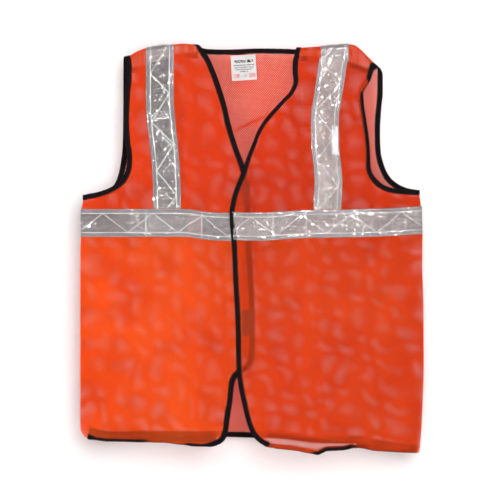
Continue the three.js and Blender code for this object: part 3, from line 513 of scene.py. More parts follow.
def sweep(name, stations, uvs, material, closed=False, sewn=(), thread=None):
    """A closed solid of U sections, with the ends capped between its outer and inner chains."""
    n, m = stations.shape[:2]
    points = stations.reshape(-1, 3)
    faces = tube(stations, closed)
    if not closed:
        half = m // 2
        caps = []
        for s, flip in ((0, False), (n - 1, True)):
            for k in range(half - 1):
                q = [s * m + k, s * m + k + 1, s * m + m - 2 - k, s * m + m - 1 - k]
                caps.append(q if flip else q[::-1])
        faces = faces + caps
    faces = outward(points, np.array(faces))
    return build(name, points, faces, uvs.reshape(-1, 2) / 100, material, None, sewn, thread)


def threads(line, pitch=3.3, length=2.5, radius=0.27, base=0):
    """A row of stitches along a 3-D line: (points, faces, uvs), each stitch one closed capsule."""
    line = np.asarray(line, float)
    s = np.concatenate([[0], np.cumsum(np.linalg.norm(np.diff(line, axis=0), axis=1))])
    n = max(1, int((s[-1] - length) / pitch))
    c = np.linspace(length, s[-1] - length, n)
    at = lambda v: np.stack([np.interp(v, s, line[:, k]) for k in range(3)], -1)
    p0, p1 = at(c - length / 2), at(c + length / 2)
    t = p1 - p0
    t /= np.linalg.norm(t, axis=1, keepdims=True) + 1e-9
    side = np.cross(t, [0.0, 1.0, 0.0])
    side /= np.linalg.norm(side, axis=1, keepdims=True) + 1e-9
    up = np.cross(side, t)
    rings = [(0.12, 0.62), (0.35, 1.0), (0.65, 1.0), (0.88, 0.62)]
    m = 6
    pts = np.zeros((n, 4 * m + 2, 3))
    uv = np.zeros((n, 4 * m + 2, 2))
    for i, (f, r) in enumerate(rings):
        for j in range(m):
            a = 2 * math.pi * j / m
            pts[:, i * m + j] = mix(p0, p1, f) + radius * r * (math.cos(a) * side + math.sin(a) * up)
            uv[:, i * m + j] = np.stack([c + (f - 0.5) * length, np.full(n, j * 0.3)], -1)
    pts[:, 4 * m], pts[:, 4 * m + 1] = p0, p1
    uv[:, 4 * m] = uv[:, 4 * m + 1] = np.stack([c, 0 * c], -1)
    faces = []
    for k in range(n):
        b = base + k * (4 * m + 2)
        for i in range(3):
            for j in range(m):
                q = (j + 1) % m
                faces.append([b + i * m + j, b + i * m + q, b + (i + 1) * m + q, b + (i + 1) * m + j])
        for j in range(m):
            q = (j + 1) % m
            faces.append([b + 4 * m, b + q, b + j])
            faces.append([b + 4 * m + 1, b + 3 * m + j, b + 3 * m + q])
    v = 0.0
    P = pts.reshape(-1, 3)
    for f in faces[: 18 + 12]:
        a_, b_, c_ = P[f[0] - base], P[f[1] - base], P[f[2] - base]
        v += float(np.dot(a_ - P[4 * m], np.cross(b_ - P[4 * m], c_ - P[4 * m])))
        if len(f) == 4:
            d_ = P[f[3] - base]
            v += float(np.dot(a_ - P[4 * m], np.cross(c_ - P[4 * m], d_ - P[4 * m])))
    if v < 0:
        faces = [f[::-1] for f in faces]
    return P, faces, uv.reshape(-1, 2)


def lengths(p):
    return np.concatenate([[0], np.cumsum(np.linalg.norm(np.diff(p, axis=0), axis=1))])


def resample(path, step):
    """Evenly spaced points along a polyline."""
    path = np.asarray(path, float)
    s = lengths(path)
    n = max(2, int(math.ceil(s[-1] / step)) + 1)
    t = np.linspace(0, s[-1], n)
    return np.stack([np.interp(t, s, path[:, k]) for k in range(path.shape[1])], -1)


def normals2(path, side, soften=2):
    t = np.gradient(path, axis=0)
    for _ in range(soften):
        t[1:-1] = (t[:-2] + 2 * t[1:-1] + t[2:]) / 4
    t /= np.linalg.norm(t, axis=1, keepdims=True) + 1e-9
    return np.stack([-t[:, 1], t[:, 0]], -1) * side


# ------------------------------------------------------------------ node materials
class Nodes:
    def __init__(self, name):
        self.m = bpy.data.materials.new(name)
        self.m.use_nodes = True
        self.t = self.m.node_tree
        self.t.nodes.clear()
        self.out = self.n("ShaderNodeOutputMaterial")

    def n(self, kind, **kw):
        node = self.t.nodes.new(kind)
        for k, v in kw.items():
            setattr(node, k, v)
        return node

    def put(self, socket, value):
        if isinstance(value, (int, float, tuple, list)):
            socket.default_value = value
        else:
            self.t.links.new(value, socket)

    def math(self, op, a, b=None, c=None, clamp=False):
        node = self.n("ShaderNodeMath", operation=op, use_clamp=clamp)
        for i, v in enumerate((a, b, c)):
            if v is not None:
                self.put(node.inputs[i], v)
        return node.outputs[0]

    def step(self, v, a, b, low=0.0, high=1.0):
        node = self.n("ShaderNodeMapRange", interpolation_type="SMOOTHSTEP")
        for i, k in enumerate((v, a, b, low, high)):
            self.put(node.inputs[i], k)
        return node.outputs[0]

    def mixc(self, f, a, b, blend="MIX"):
        node = self.n("ShaderNodeMix", data_type="RGBA", blend_type=blend)
        self.put(node.inputs[0], f)
        self.put(node.inputs[6], a)
        self.put(node.inputs[7], b)
        return node.outputs[2]

    def noise(self, vector, scale, detail=2.0, rough=0.5, dist=0.0):
        node = self.n("ShaderNodeTexNoise")
        self.put(node.inputs["Vector"], vector)
        self.put(node.inputs["Scale"], scale)
        self.put(node.inputs["Detail"], detail)
        self.put(node.inputs["Roughness"], rough)
        self.put(node.inputs["Distortion"], dist)
        return node.outputs[0]

    def uv(self):
        node = self.n("ShaderNodeUVMap", uv_map="pattern")
        s = self.n("ShaderNodeSeparateXYZ")
        self.put(s.inputs[0], node.outputs[0])
        return node.outputs[0], self.math("MULTIPLY", s.outputs[0], 100.0), self.math("MULTIPLY", s.outputs[1], 100.0)

    def bump(self, height, strength, distance, normal=None):
        node = self.n("ShaderNodeBump")
        self.put(node.inputs["Strength"], strength)
        self.put(node.inputs["Distance"], distance)
        self.put(node.inputs["Height"], height)
        if normal is not None:
            self.put(node.inputs["Normal"], normal)
        return node.outputs[0]

    def surface(self, color, rough, alpha=None, normal=None, **kw):
        p = self.n("ShaderNodeBsdfPrincipled")
        self.put(p.inputs["Base Color"], color)
        self.put(p.inputs["Roughness"], rough)
        for k, v in kw.items():
            self.put(p.inputs[k.replace("_", " ")], v)
        if normal is not None:
            self.put(p.inputs["Normal"], normal)
        if alpha is None:
            self.put(self.out.inputs[0], p.outputs[0])
        else:
            tr = self.n("ShaderNodeBsdfTransparent")
            mx = self.n("ShaderNodeMixShader")
            self.put(mx.inputs[0], alpha)
            self.put(mx.inputs[1], tr.outputs[0])
            self.put(mx.inputs[2], p.outputs[0])
            self.put(self.out.inputs[0], mx.outputs[0])
        return self.m


def srgb(r, g, b):
    f = lambda v: v / 255 / 12.92 if v / 255 <= 0.04045 else ((v / 255 + 0.055) / 1.055) ** 2.4
    return (f(r), f(g), f(b), 1.0)


def mesh_material(name, seed=0.0, hole=0.93, drift=2.4, light=1.0, painted_shade=(0.0, 0.0), knit=(1.0, 0.0, 0.0, 1.0), creases=(), tight=0.0, opens=()):
    """Knitted mesh: staggered round holes in a yarn that lets some light through. The lattice drifts as a handled knit
    does.

    knit: the cloth's own stretch and slant. creases: lines (x0, z0, x1, z1, width) where the knit is pressed shut, its
    holes closed, and its colour painted a darker orange that stands in for crease shade.
    tight: how much smaller the holes are (mm) outside the patches where the knit has been pulled open.
    opens: lines like creases where the knit lies stretched over an edge below and its holes stand open."""
    k = Nodes(name)
    uv, x0_, z0_ = k.uv()

    def lines(rows, inner, wander, end):
        mask = None
        for a0, b0, a1, b1, wide in rows:
            length = math.hypot(a1 - a0, b1 - b0)
            ux, uz = (a1 - a0) / length, (b1 - b0) / length
            along = k.math("ADD", k.math("MULTIPLY", k.math("SUBTRACT", x0_, a0), ux), k.math("MULTIPLY", k.math("SUBTRACT", z0_, b0), uz))
            across = k.math("SUBTRACT", k.math("MULTIPLY", k.math("SUBTRACT", x0_, a0), uz), k.math("MULTIPLY", k.math("SUBTRACT", z0_, b0), ux))
            if wander:
                across = k.math("ADD", across, k.math("MULTIPLY", k.math("SUBTRACT", k.noise(uv, 1.6, 2.0), 0.5), wander))
            line = k.math("SUBTRACT", 1.0, k.step(k.math("ABSOLUTE", across), inner * wide, wide))
            ends = k.math("MULTIPLY", k.step(along, 0.0, end), k.step(along, length - end, length, 1.0, 0.0))
            line = k.math("MULTIPLY", line, ends)
            mask = line if mask is None else k.math("MAXIMUM", mask, line)
        return mask

    shut = lines(creases, 0.0, 14.0, 30.0)
    stretched = lines(opens, 0.6, 0.0, 12.0)
    x = k.math("ADD", k.math("MULTIPLY", x0_, knit[0]), k.math("MULTIPLY", z0_, knit[1]))
    z = k.math("ADD", k.math("MULTIPLY", x0_, knit[2]), k.math("MULTIPLY", z0_, knit[3]))
    big_ = k.n("ShaderNodeVectorMath", operation="ADD")
    k.put(big_.inputs[0], uv)
    big_.inputs[1].default_value = (seed * 3.17, seed * 7.31, seed)
    at = big_.outputs[0]
    x = k.math("ADD", x, k.math("MULTIPLY", k.math("SUBTRACT", k.noise(at, 34.0, 2.0), 0.5), 1.0))
    x = k.math("ADD", x, k.math("MULTIPLY", k.math("SUBTRACT", k.noise(at, 1.7, 1.0), 0.5), drift * 2))
    sh = k.n("ShaderNodeVectorMath", operation="ADD")
    k.put(sh.inputs[0], at)
    sh.inputs[1].default_value = (5.3, 1.9, 2.2)
    z = k.math("ADD", z, k.math("MULTIPLY", k.math("SUBTRACT", k.noise(sh.outputs[0], 1.9, 1.0), 0.5), drift))
    PX, PZ = 4.5, 4.6

    def cell(sx, sz):
        a = k.math("SUBTRACT", k.math("FRACT", k.math("ADD", k.math("DIVIDE", x, PX), sx)), 0.5)
        b = k.math("SUBTRACT", k.math("FRACT", k.math("ADD", k.math("DIVIDE", z, PZ), sz)), 0.5)
        a, b = k.math("MULTIPLY", a, PX * 0.90), k.math("MULTIPLY", b, PZ)
        return k.math("SQRT", k.math("ADD", k.math("MULTIPLY", a, a), k.math("MULTIPLY", b, b)))

    d = k.math("MINIMUM", cell(0.0, 0.0), cell(0.5, 0.5))
    vary = k.math("MULTIPLY", k.math("SUBTRACT", k.noise(uv, 9.0, 1.0), 0.5), 0.2)
    d = k.math("SUBTRACT", d, vary)
    if tight:
        pulled = k.step(k.noise(sh.outputs[0], 1.55, 1.0), 0.47, 0.66)
        if stretched is not None:
            pulled = k.math("MAXIMUM", pulled, stretched)
            d = k.math("SUBTRACT", d, k.math("MULTIPLY", stretched, 0.14))
        d = k.math("ADD", d, k.math("MULTIPLY", k.math("SUBTRACT", 1.0, pulled), tight))
    if shut is not None:
        d = k.math("ADD", d, k.math("MULTIPLY", shut, 0.45))
    alpha = k.step(d, hole - 0.10, hole + 0.12)
    rim = k.step(d, hole + 0.05, hole + 0.6)
    big = k.noise(at, 0.9, 3.0)
    fine = k.noise(uv, 90.0, 3.0, 0.6)
    # painted shade: light scales every yarn colour; below 1 it paints the whole panel darker, standing in for the shade
    # on that side of the vest
    c = k.mixc(k.step(big, 0.3, 0.7), srgb(244 * light, 89 * light, 18 * light), srgb(253 * light, 106 * light, 28 * light))
    c = k.mixc(k.math("MULTIPLY", k.step(fine, 0.35, 0.75), 0.35), c, srgb(224 * light, 66 * light, 18 * light))
    # painted shade: the yarn is painted darker towards the edge of each hole, where it dips in
    c = k.mixc(k.math("MULTIPLY", k.math("SUBTRACT", 1.0, rim), 0.3), c, srgb(202 * light, 50 * light, 12 * light))
    # painted shade: the cloth turns a darker red from below to above the waist tape, by the two given shares, standing
    # in for the shade on the upper body
    painted_shade_red = k.mixc(k.step(fine, 0.35, 0.75), srgb(232 * light, 62 * light, 12 * light), srgb(240 * light, 74 * light, 20 * light))
    c = k.mixc(k.step(z0_, 370.0, 460.0, painted_shade[0], painted_shade[1]), c, painted_shade_red)
    if shut is not None:
        # painted shade: along the creases the colour turns a deeper, darker orange, standing in for the shade of the
        # folds; the closing of the holes above is the knit pressed shut
        c = k.mixc(k.math("MULTIPLY", shut, 0.4), c, srgb(238 * light, 70 * light, 8 * light))
    yarn = k.math("ADD", k.math("MULTIPLY", rim, 0.8), k.math("MULTIPLY", k.math("SINE", k.math("MULTIPLY", z, 5.46)), 0.12))
    height = k.math("ADD", yarn, k.math("MULTIPLY", fine, 0.5))
    nrm = k.bump(height, 0.5, 0.0004)
    p = k.n("ShaderNodeBsdfPrincipled")
    for key, v in (("Base Color", c), ("Roughness", k.step(fine, 0.2, 0.8, 0.66, 0.84)), ("Normal", nrm), ("Specular IOR Level", 0.2), ("Sheen Weight", 0.06), ("Sheen Roughness", 0.4)):
        k.put(p.inputs[key], v)
    k.put(p.inputs["Sheen Tint"], (1.0, 0.5, 0.3, 1.0))
    tl = k.n("ShaderNodeBsdfTranslucent")
    k.put(tl.inputs["Color"], c)
    k.put(tl.inputs["Normal"], nrm)
    body = k.n("ShaderNodeMixShader")
    k.put(body.inputs[0], 0.45)
    k.put(body.inputs[1], p.outputs[0])
    k.put(body.inputs[2], tl.outputs[0])
    tr = k.n("ShaderNodeBsdfTransparent")
    mx = k.n("ShaderNodeMixShader")
    k.put(mx.inputs[0], alpha)
    k.put(mx.inputs[1], tr.outputs[0])
    k.put(mx.inputs[2], body.outputs[0])
    k.put(k.out.inputs[0], mx.outputs[0])
    return k.m


def binding_material(name):
    k = Nodes(name)
    uv, s, t = k.uv()
    rib = k.math("SINE", k.math("MULTIPLY", s, 7.4))
    warp = k.math("SINE", k.math("MULTIPLY", t, 9.5))
    fine = k.noise(uv, 70.0, 3.0)
    weave = k.math("MULTIPLY", k.math("ADD", rib, k.math("MULTIPLY", warp, 0.6)), 0.3)
    fuzz = k.step(fine, 0.45, 0.8)
    c = k.mixc(k.math("MULTIPLY", fuzz, 0.5), srgb(12, 5, 7), srgb(34, 18, 21))
    c = k.mixc(k.math("MULTIPLY", k.step(k.noise(uv, 1.6, 2.0), 0.5, 0.8), 0.4), c, srgb(26, 12, 15))
    nrm = k.bump(k.math("ADD", weave, fine), 0.6, 0.0003)
    return k.surface(c, 0.85, None, nrm, Sheen_Weight=0.03, Specular_IOR_Level=0.1)


def thread_material(name, col):
    k = Nodes(name)
    uv, s, t = k.uv()
    tw = k.math("SINE", k.math("ADD", k.math("MULTIPLY", s, 12.0), k.math("MULTIPLY", t, 6.0)))
    c = k.mixc(k.step(tw, -0.6, 0.8), tuple(v * 0.55 for v in col[:3]) + (1.0,), col)
    return k.surface(c, 0.6, None, k.bump(tw, 0.5, 0.0001))


def weld_lines(k, s, t, half=17.3, period=45.0, phase=0.0, cross=()):
    """Distance in mm to the nearest weld line, in tape coordinates: s along, t across."""
    pp = k.math("PINGPONG", k.math("DIVIDE", k.math("ADD", s, phase), period), 1.0)
    tz = k.math("MULTIPLY", k.math("SUBTRACT", k.math("MULTIPLY", pp, 2.0), 1.0), half)
    d = k.math("MULTIPLY", k.math("ABSOLUTE", k.math("SUBTRACT", t, tz)), 0.79)
    at = k.math("ABSOLUTE", t)
    d = k.math("MINIMUM", d, k.math("ABSOLUTE", k.math("SUBTRACT", at, half)))
    for c in cross:
        d = k.math("MINIMUM", d, k.math("ABSOLUTE", k.math("SUBTRACT", s, c)))
    return d, at


def tape_material(name, phase, cross=(), painted_light_tone=1.0, pink=None):
    """Grey backing cloth under the film. pink: a run along the tape where the backing is painted pinker."""
    k = Nodes(name)
    uv, s, t = k.uv()
    d, at = weld_lines(k, s, t, phase=phase, cross=cross)
    grain = k.noise(uv, 60.0, 2.0)
    big = k.noise(uv, 2.2, 3.0)
    diag = k.math("SINE", k.math("MULTIPLY", k.math("ADD", s, t), 3.1))
    diag2 = k.math("SINE", k.math("MULTIPLY", k.math("SUBTRACT", s, t), 3.1))
    cells = k.math("MULTIPLY", diag, diag2)
    # painted light: the backing colours are scaled for the light that falls on this run of tape
    c = k.mixc(k.step(big, 0.3, 0.7), srgb(130 * painted_light_tone, 111 * painted_light_tone, 107 * painted_light_tone), srgb(160 * painted_light_tone, 143 * painted_light_tone, 138 * painted_light_tone))
    c = k.mixc(k.math("MULTIPLY", k.step(k.noise(uv, 1.1, 2.0), 0.5, 0.8), 0.6), c, srgb(154 * painted_light_tone, 122 * painted_light_tone, 121 * painted_light_tone))
    if pink:
        zone = k.math("MULTIPLY", k.step(s, pink[0] - 2, pink[0] + 2), k.step(s, pink[1] - 2, pink[1] + 2, 1.0, 0.0))
        c = k.mixc(k.math("MULTIPLY", zone, 0.8), c, srgb(158, 120, 118))
    c = k.mixc(k.math("MULTIPLY", k.step(cells, -0.4, 0.9), 0.12), c, srgb(186, 184, 186))
    c = k.mixc(k.math("MULTIPLY", k.step(grain, 0.4, 0.8), 0.2), c, srgb(104, 98, 100))
    edge = k.step(at, 17.3, 18.2)
    c = k.mixc(k.math("MULTIPLY", edge, 0.4), c, srgb(176, 170, 172))
    line = k.math("SUBTRACT", 1.0, k.step(d, 0.3, 0.75))
    c = k.mixc(k.math("MULTIPLY", line, 0.7), c, srgb(214, 212, 212))
    return k.surface(c, 0.5, None, k.bump(k.math("ADD", k.math("MULTIPLY", cells, 0.3), grain), 0.35, 0.0002), Specular_IOR_Level=0.5, Metallic=0.15)


def film_material(name, phase, cross=(), painted_glare=None, painted_light_tone=1.0):
    k = Nodes(name)
    uv, s, t = k.uv()
    d, at = weld_lines(k, s, t, phase=phase, cross=cross)
    line = k.math("SUBTRACT", 1.0, k.step(d, 0.3, 1.1))
    rid = k.math("ABSOLUTE", k.math("SUBTRACT", k.noise(uv, 16.0, 2.0, 0.55, 1.2), 0.5))
    rid = k.math("SUBTRACT", 1.0, k.math("MULTIPLY", rid, 4.0), clamp=True)
    fine = k.noise(uv, 52.0, 2.0, 0.5, 0.8)
    border = k.step(at, 16.5, 18.0)
    amount = k.math("ADD", 0.35, k.math("MULTIPLY", border, 0.9))
    h = k.math("ADD", k.math("MULTIPLY", k.math("POWER", rid, 3.0), 0.8), k.math("MULTIPLY", k.math("MULTIPLY", fine, amount), 0.9))
    nrm = k.bump(h, 0.8, 0.0011)
    streak = k.math("MULTIPLY", k.step(rid, 0.9, 1.0), 0.12)
    a = k.math("ADD", 0.22, k.math("MULTIPLY", line, 0.3))
    a = k.math("ADD", a, k.math("MULTIPLY", border, 0.06))
    a = k.math("ADD", a, streak, clamp=True)
    # painted light: the film colour is scaled for the light that falls on this run of tape
    c = k.mixc(line, srgb(140 * painted_light_tone, 134 * painted_light_tone, 134 * painted_light_tone), srgb(232, 230, 230))
    # painted highlight: a patch of film, ragged at its edges, is painted pure white and nearly opaque, standing in for
    # a glare
    if painted_glare:
        zone = k.math("MULTIPLY", k.step(s, painted_glare[0] - 5, painted_glare[0] + 3), k.step(s, painted_glare[1] - 3, painted_glare[1] + 5, 1.0, 0.0))
        zone = k.math("MULTIPLY", zone, k.math("MULTIPLY", k.step(t, painted_glare[2] - 2, painted_glare[2] + 2), k.step(t, painted_glare[3] - 2, painted_glare[3] + 2, 1.0, 0.0)))
        zone = k.math("MULTIPLY", zone, k.step(k.noise(uv, 4.0, 1.0), 0.2, 0.5))
        a = k.math("MAXIMUM", a, k.math("MULTIPLY", zone, 0.9))
        c = k.mixc(zone, c, (1.0, 1.0, 1.0, 1.0))
    return k.surface(c, k.step(fine, 0.2, 0.8, 0.07, 0.15), a, nrm, Specular_IOR_Level=1.0, Coat_Weight=1.0, Coat_Roughness=0.05, Coat_IOR=1.8)


def label_material(name):
    k = Nodes(name)
    uv, s, t = k.uv()
    weave = k.math("MULTIPLY", k.math("SINE", k.math("MULTIPLY", s, 11.0)), k.math("SINE", k.math("MULTIPLY", t, 11.0)))
    c = k.mixc(k.step(k.noise(uv, 3.0, 2.0), 0.3, 0.7), srgb(196, 193, 190), srgb(212, 210, 208))

    def row(z0, height, x0, x1, cell, seed, ink, weight, c):
        """One generic line of unreadable marks."""
        inside = k.math("MULTIPLY", k.math("MULTIPLY", k.math("GREATER_THAN", s, x0), k.math("LESS_THAN", s, x1)),
                        k.math("LESS_THAN", k.math("ABSOLUTE", k.math("SUBTRACT", t, z0)), height / 2))
        col = k.math("FLOOR", k.math("DIVIDE", s, cell))
        sub = k.math("FLOOR", k.math("DIVIDE", t, height * 0.5))
        comb = k.n("ShaderNodeCombineXYZ")
        k.put(comb.inputs[0], col)
        k.put(comb.inputs[1], sub)
        k.put(comb.inputs[2], float(seed))
        w = k.n("ShaderNodeTexWhiteNoise")
        k.put(w.inputs["Vector"], comb.outputs[0])
        mark = k.math("MULTIPLY", inside, k.math("GREATER_THAN", w.outputs["Value"], 0.3))
        return k.mixc(k.math("MULTIPLY", mark, weight), c, ink)

    c = row(34.4, 5.2, 6.5, 40, 1.3, 1, srgb(24, 24, 28), 1.0, c)
    c = row(27.4, 2.4, 5, 42, 0.9, 2, srgb(70, 68, 72), 0.95, c)
    c = row(23.2, 2.0, 6, 41, 0.9, 3, srgb(84, 82, 86), 0.9, c)
    c = row(19.6, 2.0, 8, 38, 0.9, 4, srgb(84, 82, 86), 0.9, c)
    c = row(15.8, 2.2, 16, 30, 1.2, 5, srgb(90, 88, 92), 0.85, c)
    c = row(8.4, 7.4, 3.5, 15, 1.2, 6, srgb(206, 122, 122), 0.85, c)
    c = row(8.4, 7.4, 31, 43, 1.2, 7, srgb(206, 122, 122), 0.85, c)
    c = row(8.4, 4.0, 19, 28, 1.2, 8, srgb(140, 138, 140), 0.7, c)
    return k.surface(c, 0.62, None, k.bump(weave, 0.3, 0.0001), Sheen_Weight=0.2)


def pile_material(name):
    k = Nodes(name)
    uv, s, t = k.uv()
    v = k.n("ShaderNodeTexVoronoi", feature="F1")
    k.put(v.inputs["Vector"], uv)
    k.put(v.inputs["Scale"], 110.0)
    c = k.mixc(k.step(v.outputs["Distance"], 0.1, 0.6), srgb(34, 33, 36), srgb(8, 8, 9))
    return k.surface(c, 0.7, None, k.bump(v.outputs["Distance"], 0.9, 0.0008), Specular_IOR_Level=0.4)


# painted shade: each panel's pair of shares for the darker red, below and above the waist tape, stands in for the shade
# on the upper body
MESH_R = mesh_material("mesh_cloth_right", 1.0, hole=1.0, tight=0.3, painted_shade=(0.0, 0.8), creases=((-114, 392, -98, 24, 11.0), (-118, 700, -110, 450, 9.0), (-310, 364, -215, 366, 4.0)), opens=((-305, 36, -60, 32, 13.0),))
# painted shade: light=0.985 makes this copy of the mesh cloth darker than the right front, standing in for the shade on
# this side
MESH_L = mesh_material("mesh_cloth_left", 2.0, hole=1.0, tight=0.3, light=0.985, painted_shade=(0.45, 0.95), knit=(1.01, -0.02, 0.012, 0.995), creases=((104, 392, 131, 40, 7.0), (94, 392, 96, 120, 10.0), (152, 640, 208, 648, 4.0)), opens=((-4, 520, -5, 130, 15.0), (20, 30, 215, 8, 12.0)))
MESH_B = mesh_material("mesh_cloth_back", 3.0, hole=0.9, painted_shade=(0.2, 0.4), knit=(1.085, 0.055, -0.035, 1.045), creases=((-40, 578, 40, 615, 5.0), (-290, 330, 290, 336, 3.0)))

BIND = binding_material("edge_binding")


def seam_material(name, x0, x1):
    """Seam allowance: folded mesh cloth, with the ends of the edge bindings caught in it beyond x0 and x1."""
    k = Nodes(name)
    uv, x, z = k.uv()
    w = k.math("ADD", x, k.math("MULTIPLY", k.math("SUBTRACT", k.noise(uv, 20.0, 2.0), 0.5), 8.0))
    inside = k.math("MULTIPLY", k.step(w, x0 - 1.5, x0 + 1.5), k.step(w, x1 - 1.5, x1 + 1.5, 1.0, 0.0))
    fine = k.noise(uv, 80.0, 3.0)
    rib = k.math("SINE", k.math("MULTIPLY", x, 5.0))
    c = k.mixc(inside, srgb(22, 9, 10), k.mixc(k.step(fine, 0.3, 0.7), srgb(214, 58, 16), srgb(238, 80, 28)))
    return k.surface(c, 0.8, None, k.bump(k.math("ADD", rib, fine), 0.4, 0.0003), Specular_IOR_Level=0.15)
THREAD = thread_material("thread_dark", srgb(46, 38, 40))
THREAD_O = thread_material("thread_orange", srgb(214, 60, 24))
THREAD_W = thread_material("thread_clear", srgb(226, 222, 222))
LABEL_M = label_material("label_cloth")
PILE = pile_material("hook_and_loop")


# ------------------------------------------------------------------ pattern grids
def spread(keys, ends, step):
    """Rows between key rows, closer where the outline runs along them."""
    rows = [keys[0]]
    for a, b in zip(keys[:-1], keys[1:]):
        a_, b_ = np.array(a, float), np.array(b, float)
        d = max(abs(b_[0] - a_[0]), abs(b_[1] - a_[1]), *[abs(float(f(b_[i])) - float(f(a_[i]))) for i, f in enumerate(ends)])
        n = max(1, int(math.ceil(d / step)))
        rows += [tuple(mix(a_, b_, k / n)) for k in range(1, n + 1)]
    return np.array(rows)


def front_grid(low, high, edge, out, hem, seam, roll, step, cols):
    keys = []
    n = len(low) + len(high)
    for i, (e, s) in enumerate(low + high):
        keys.append((e, s, max(0, 1 - i / 4), 1.0 if i == n - 1 else 0.0))
    rows = spread(keys, (edge, out), step)
    t = np.linspace(0, 1, cols)[None, :]
    e, s, wl, wt = (rows[:, k][:, None] for k in range(4))
    xe, xs = edge(e), out(s)
    X = mix(xe, xs, t)
    e0, s0, e1, s1 = low[0][0], low[0][1], high[-1][0], high[-1][1]
    pattern_hem = hem(X) - BIND_WIDTH * roll(X)
    Z = mix(e, s, t) + wl * (pattern_hem - mix(e0, s0, t)) + wt * (seam(X) - mix(e1, s1, t))
    return X, Z


STEP = 3.4
GR = front_grid(LOW_R, HIGH_R, edge_r, out_fr, hem_fr, seam_r, roll_r, STEP, 84)
GL = front_grid(LOW_L, HIGH_L, edge_l, out_fl, hem_fl, seam_l, roll_l, STEP, 98)


def split_columns(xr, xl, n):
    a, b, c = n
    t = np.linspace(0, 1, a + 1)[:-1]
    u = np.linspace(0, 1, b + 1)[:-1]
    v = np.linspace(0, 1, c + 1)
    return np.concatenate([mix(xr, NECK_X[0], t), mix(NECK_X[0], NECK_X[1], u), mix(NECK_X[1], xl, v)], -1)


NB = (62, 46, 62)
keys = [(r, l, max(0, 1 - i / 4)) for i, (r, l) in enumerate(LOW_B + HIGH_B)]
rows = spread(keys, (out_br, out_bl), STEP + 0.3)
XB = np.stack([split_columns(float(out_br(r)), float(out_bl(l)), NB) for r, l, _ in rows])
tb = (XB - XB[:, :1]) / (XB[:, -1:] - XB[:, :1])
ZB = mix(rows[:, :1], rows[:, 1:2], tb) + rows[:, 2:3] * (hem_b(XB) - mix(27, 1.8, tb))
# from the last straight row up to the start of the shoulder fold
last_x = XB[-1]
n_up = 20
top_x = split_columns(-231.6, 235.6, NB)
w = np.linspace(0, 1, n_up + 1)[1:, None]
XU = mix(last_x[None, :], top_x[None, :], w)
ZU = mix(ZB[-1][None, :], fold_at(top_x)[None, :], w)
XB, ZB = np.concatenate([XB, XU]), np.concatenate([ZB, ZU])
QB = ZB - fold_at(XB)
QB[-1] = 0.0


def neck_q(x):
    return FOLD_LENGTH / math.pi * np.arcsin(np.clip((neck(x) - fold_at(x)) / FOLD_RISE, 0.05, 0.98))


def q_deg(d):
    return FOLD_LENGTH * np.asarray(d, float) / 180


xn = split_columns(-231.6, 235.6, NB)
ARCH = np.concatenate([[0, 11.3, 22.7, 34], np.arange(41, 181, 7.0), [180]])
ARCH = np.unique(ARCH)
cr, cl = float(neck_q(NECK_X[0])), float(neck_q(NECK_X[1]))


def shoulder(side):
    sr = side == "r"
    base = xn[: NB[0] + 1] if sr else xn[NB[0] + NB[1]:]
    t = (base - base[0]) / (base[-1] - base[0])
    X, Q = [], []
    for d in ARCH:
        a = np.interp(d, ANGLES, ARM_TOP_R if sr else ARM_TOP_L)
        b = np.interp(d, ANGLES, NECK_TOP_R if sr else NECK_TOP_L)
        xs = mix(a, b, t) if sr else mix(b, a, t)
        if d == 0:
            xs = base
        near = t if sr else 1 - t  # 1 at the neck
        corner = cr if sr else cl
        plain = q_deg(d)
        if d <= 34:
            q = mix(plain, corner * d / 34, near ** 6)
        else:
            extra = max(0.0, corner - q_deg(34)) * (1 - (d - 34) / 146)
            q = plain + extra * near ** 6
        X.append(xs)
        Q.append(q + 0 * xs)
    seam = seam_r if sr else seam_l
    a, b = (ARM_TOP_R[-1], NECK_TOP_R[-1]) if sr else (ARM_TOP_L[-1], NECK_TOP_L[-1])
    xe = mix(a, b, t) if sr else mix(b, a, t)
    q_end = np.maximum(FOLD_LENGTH + 0.8, FOLD_LENGTH + fold_at(xe) - seam(xe) + 0.05)
    for k in (0.25, 0.5, 0.75, 1.0):
        X.append(mix(X[len(ARCH) - 1], xe, k))
        Q.append(mix(Q[len(ARCH) - 1], q_end, k))
    return np.stack(X), np.stack(Q)


SR, SL = shoulder("r"), shoulder("l")
mid_x = xn[NB[0]: NB[0] + NB[1] + 1]
NX = np.stack([mid_x] * 4)
NQ = np.stack([0 * mid_x, neck_q(mid_x) * 11.3 / 34, neck_q(mid_x) * 22.7 / 34, neck_q(mid_x)])
T = 0.28


def uv_back(X, Q):
    return X + 0 * Q, fold_at(X) + Q


pieces = {}
pieces["back"] = sheet("back_cloth", [(XB, QB), SR, SL, (NX, NQ)], B, -T, T, MESH_B, uv_back)
xr_, xl_ = np.linspace(-219, -97, 90), np.linspace(88, 211, 90)
pieces["right"] = sheet("right_front_cloth", [GR], U, -T, T, MESH_R, None, [U(xr_, seam_r(xr_) - 1.6, 0.45), U(xr_, seam_r(xr_) - 8.2, 0.45)], THREAD_O)
pieces["left"] = sheet("left_front_cloth", [GL], O, -T, T, MESH_L, None, [O(xl_, seam_l(xl_) - 1.6, 0.45), O(xl_, seam_l(xl_) - 8.2, 0.45)], THREAD_O)


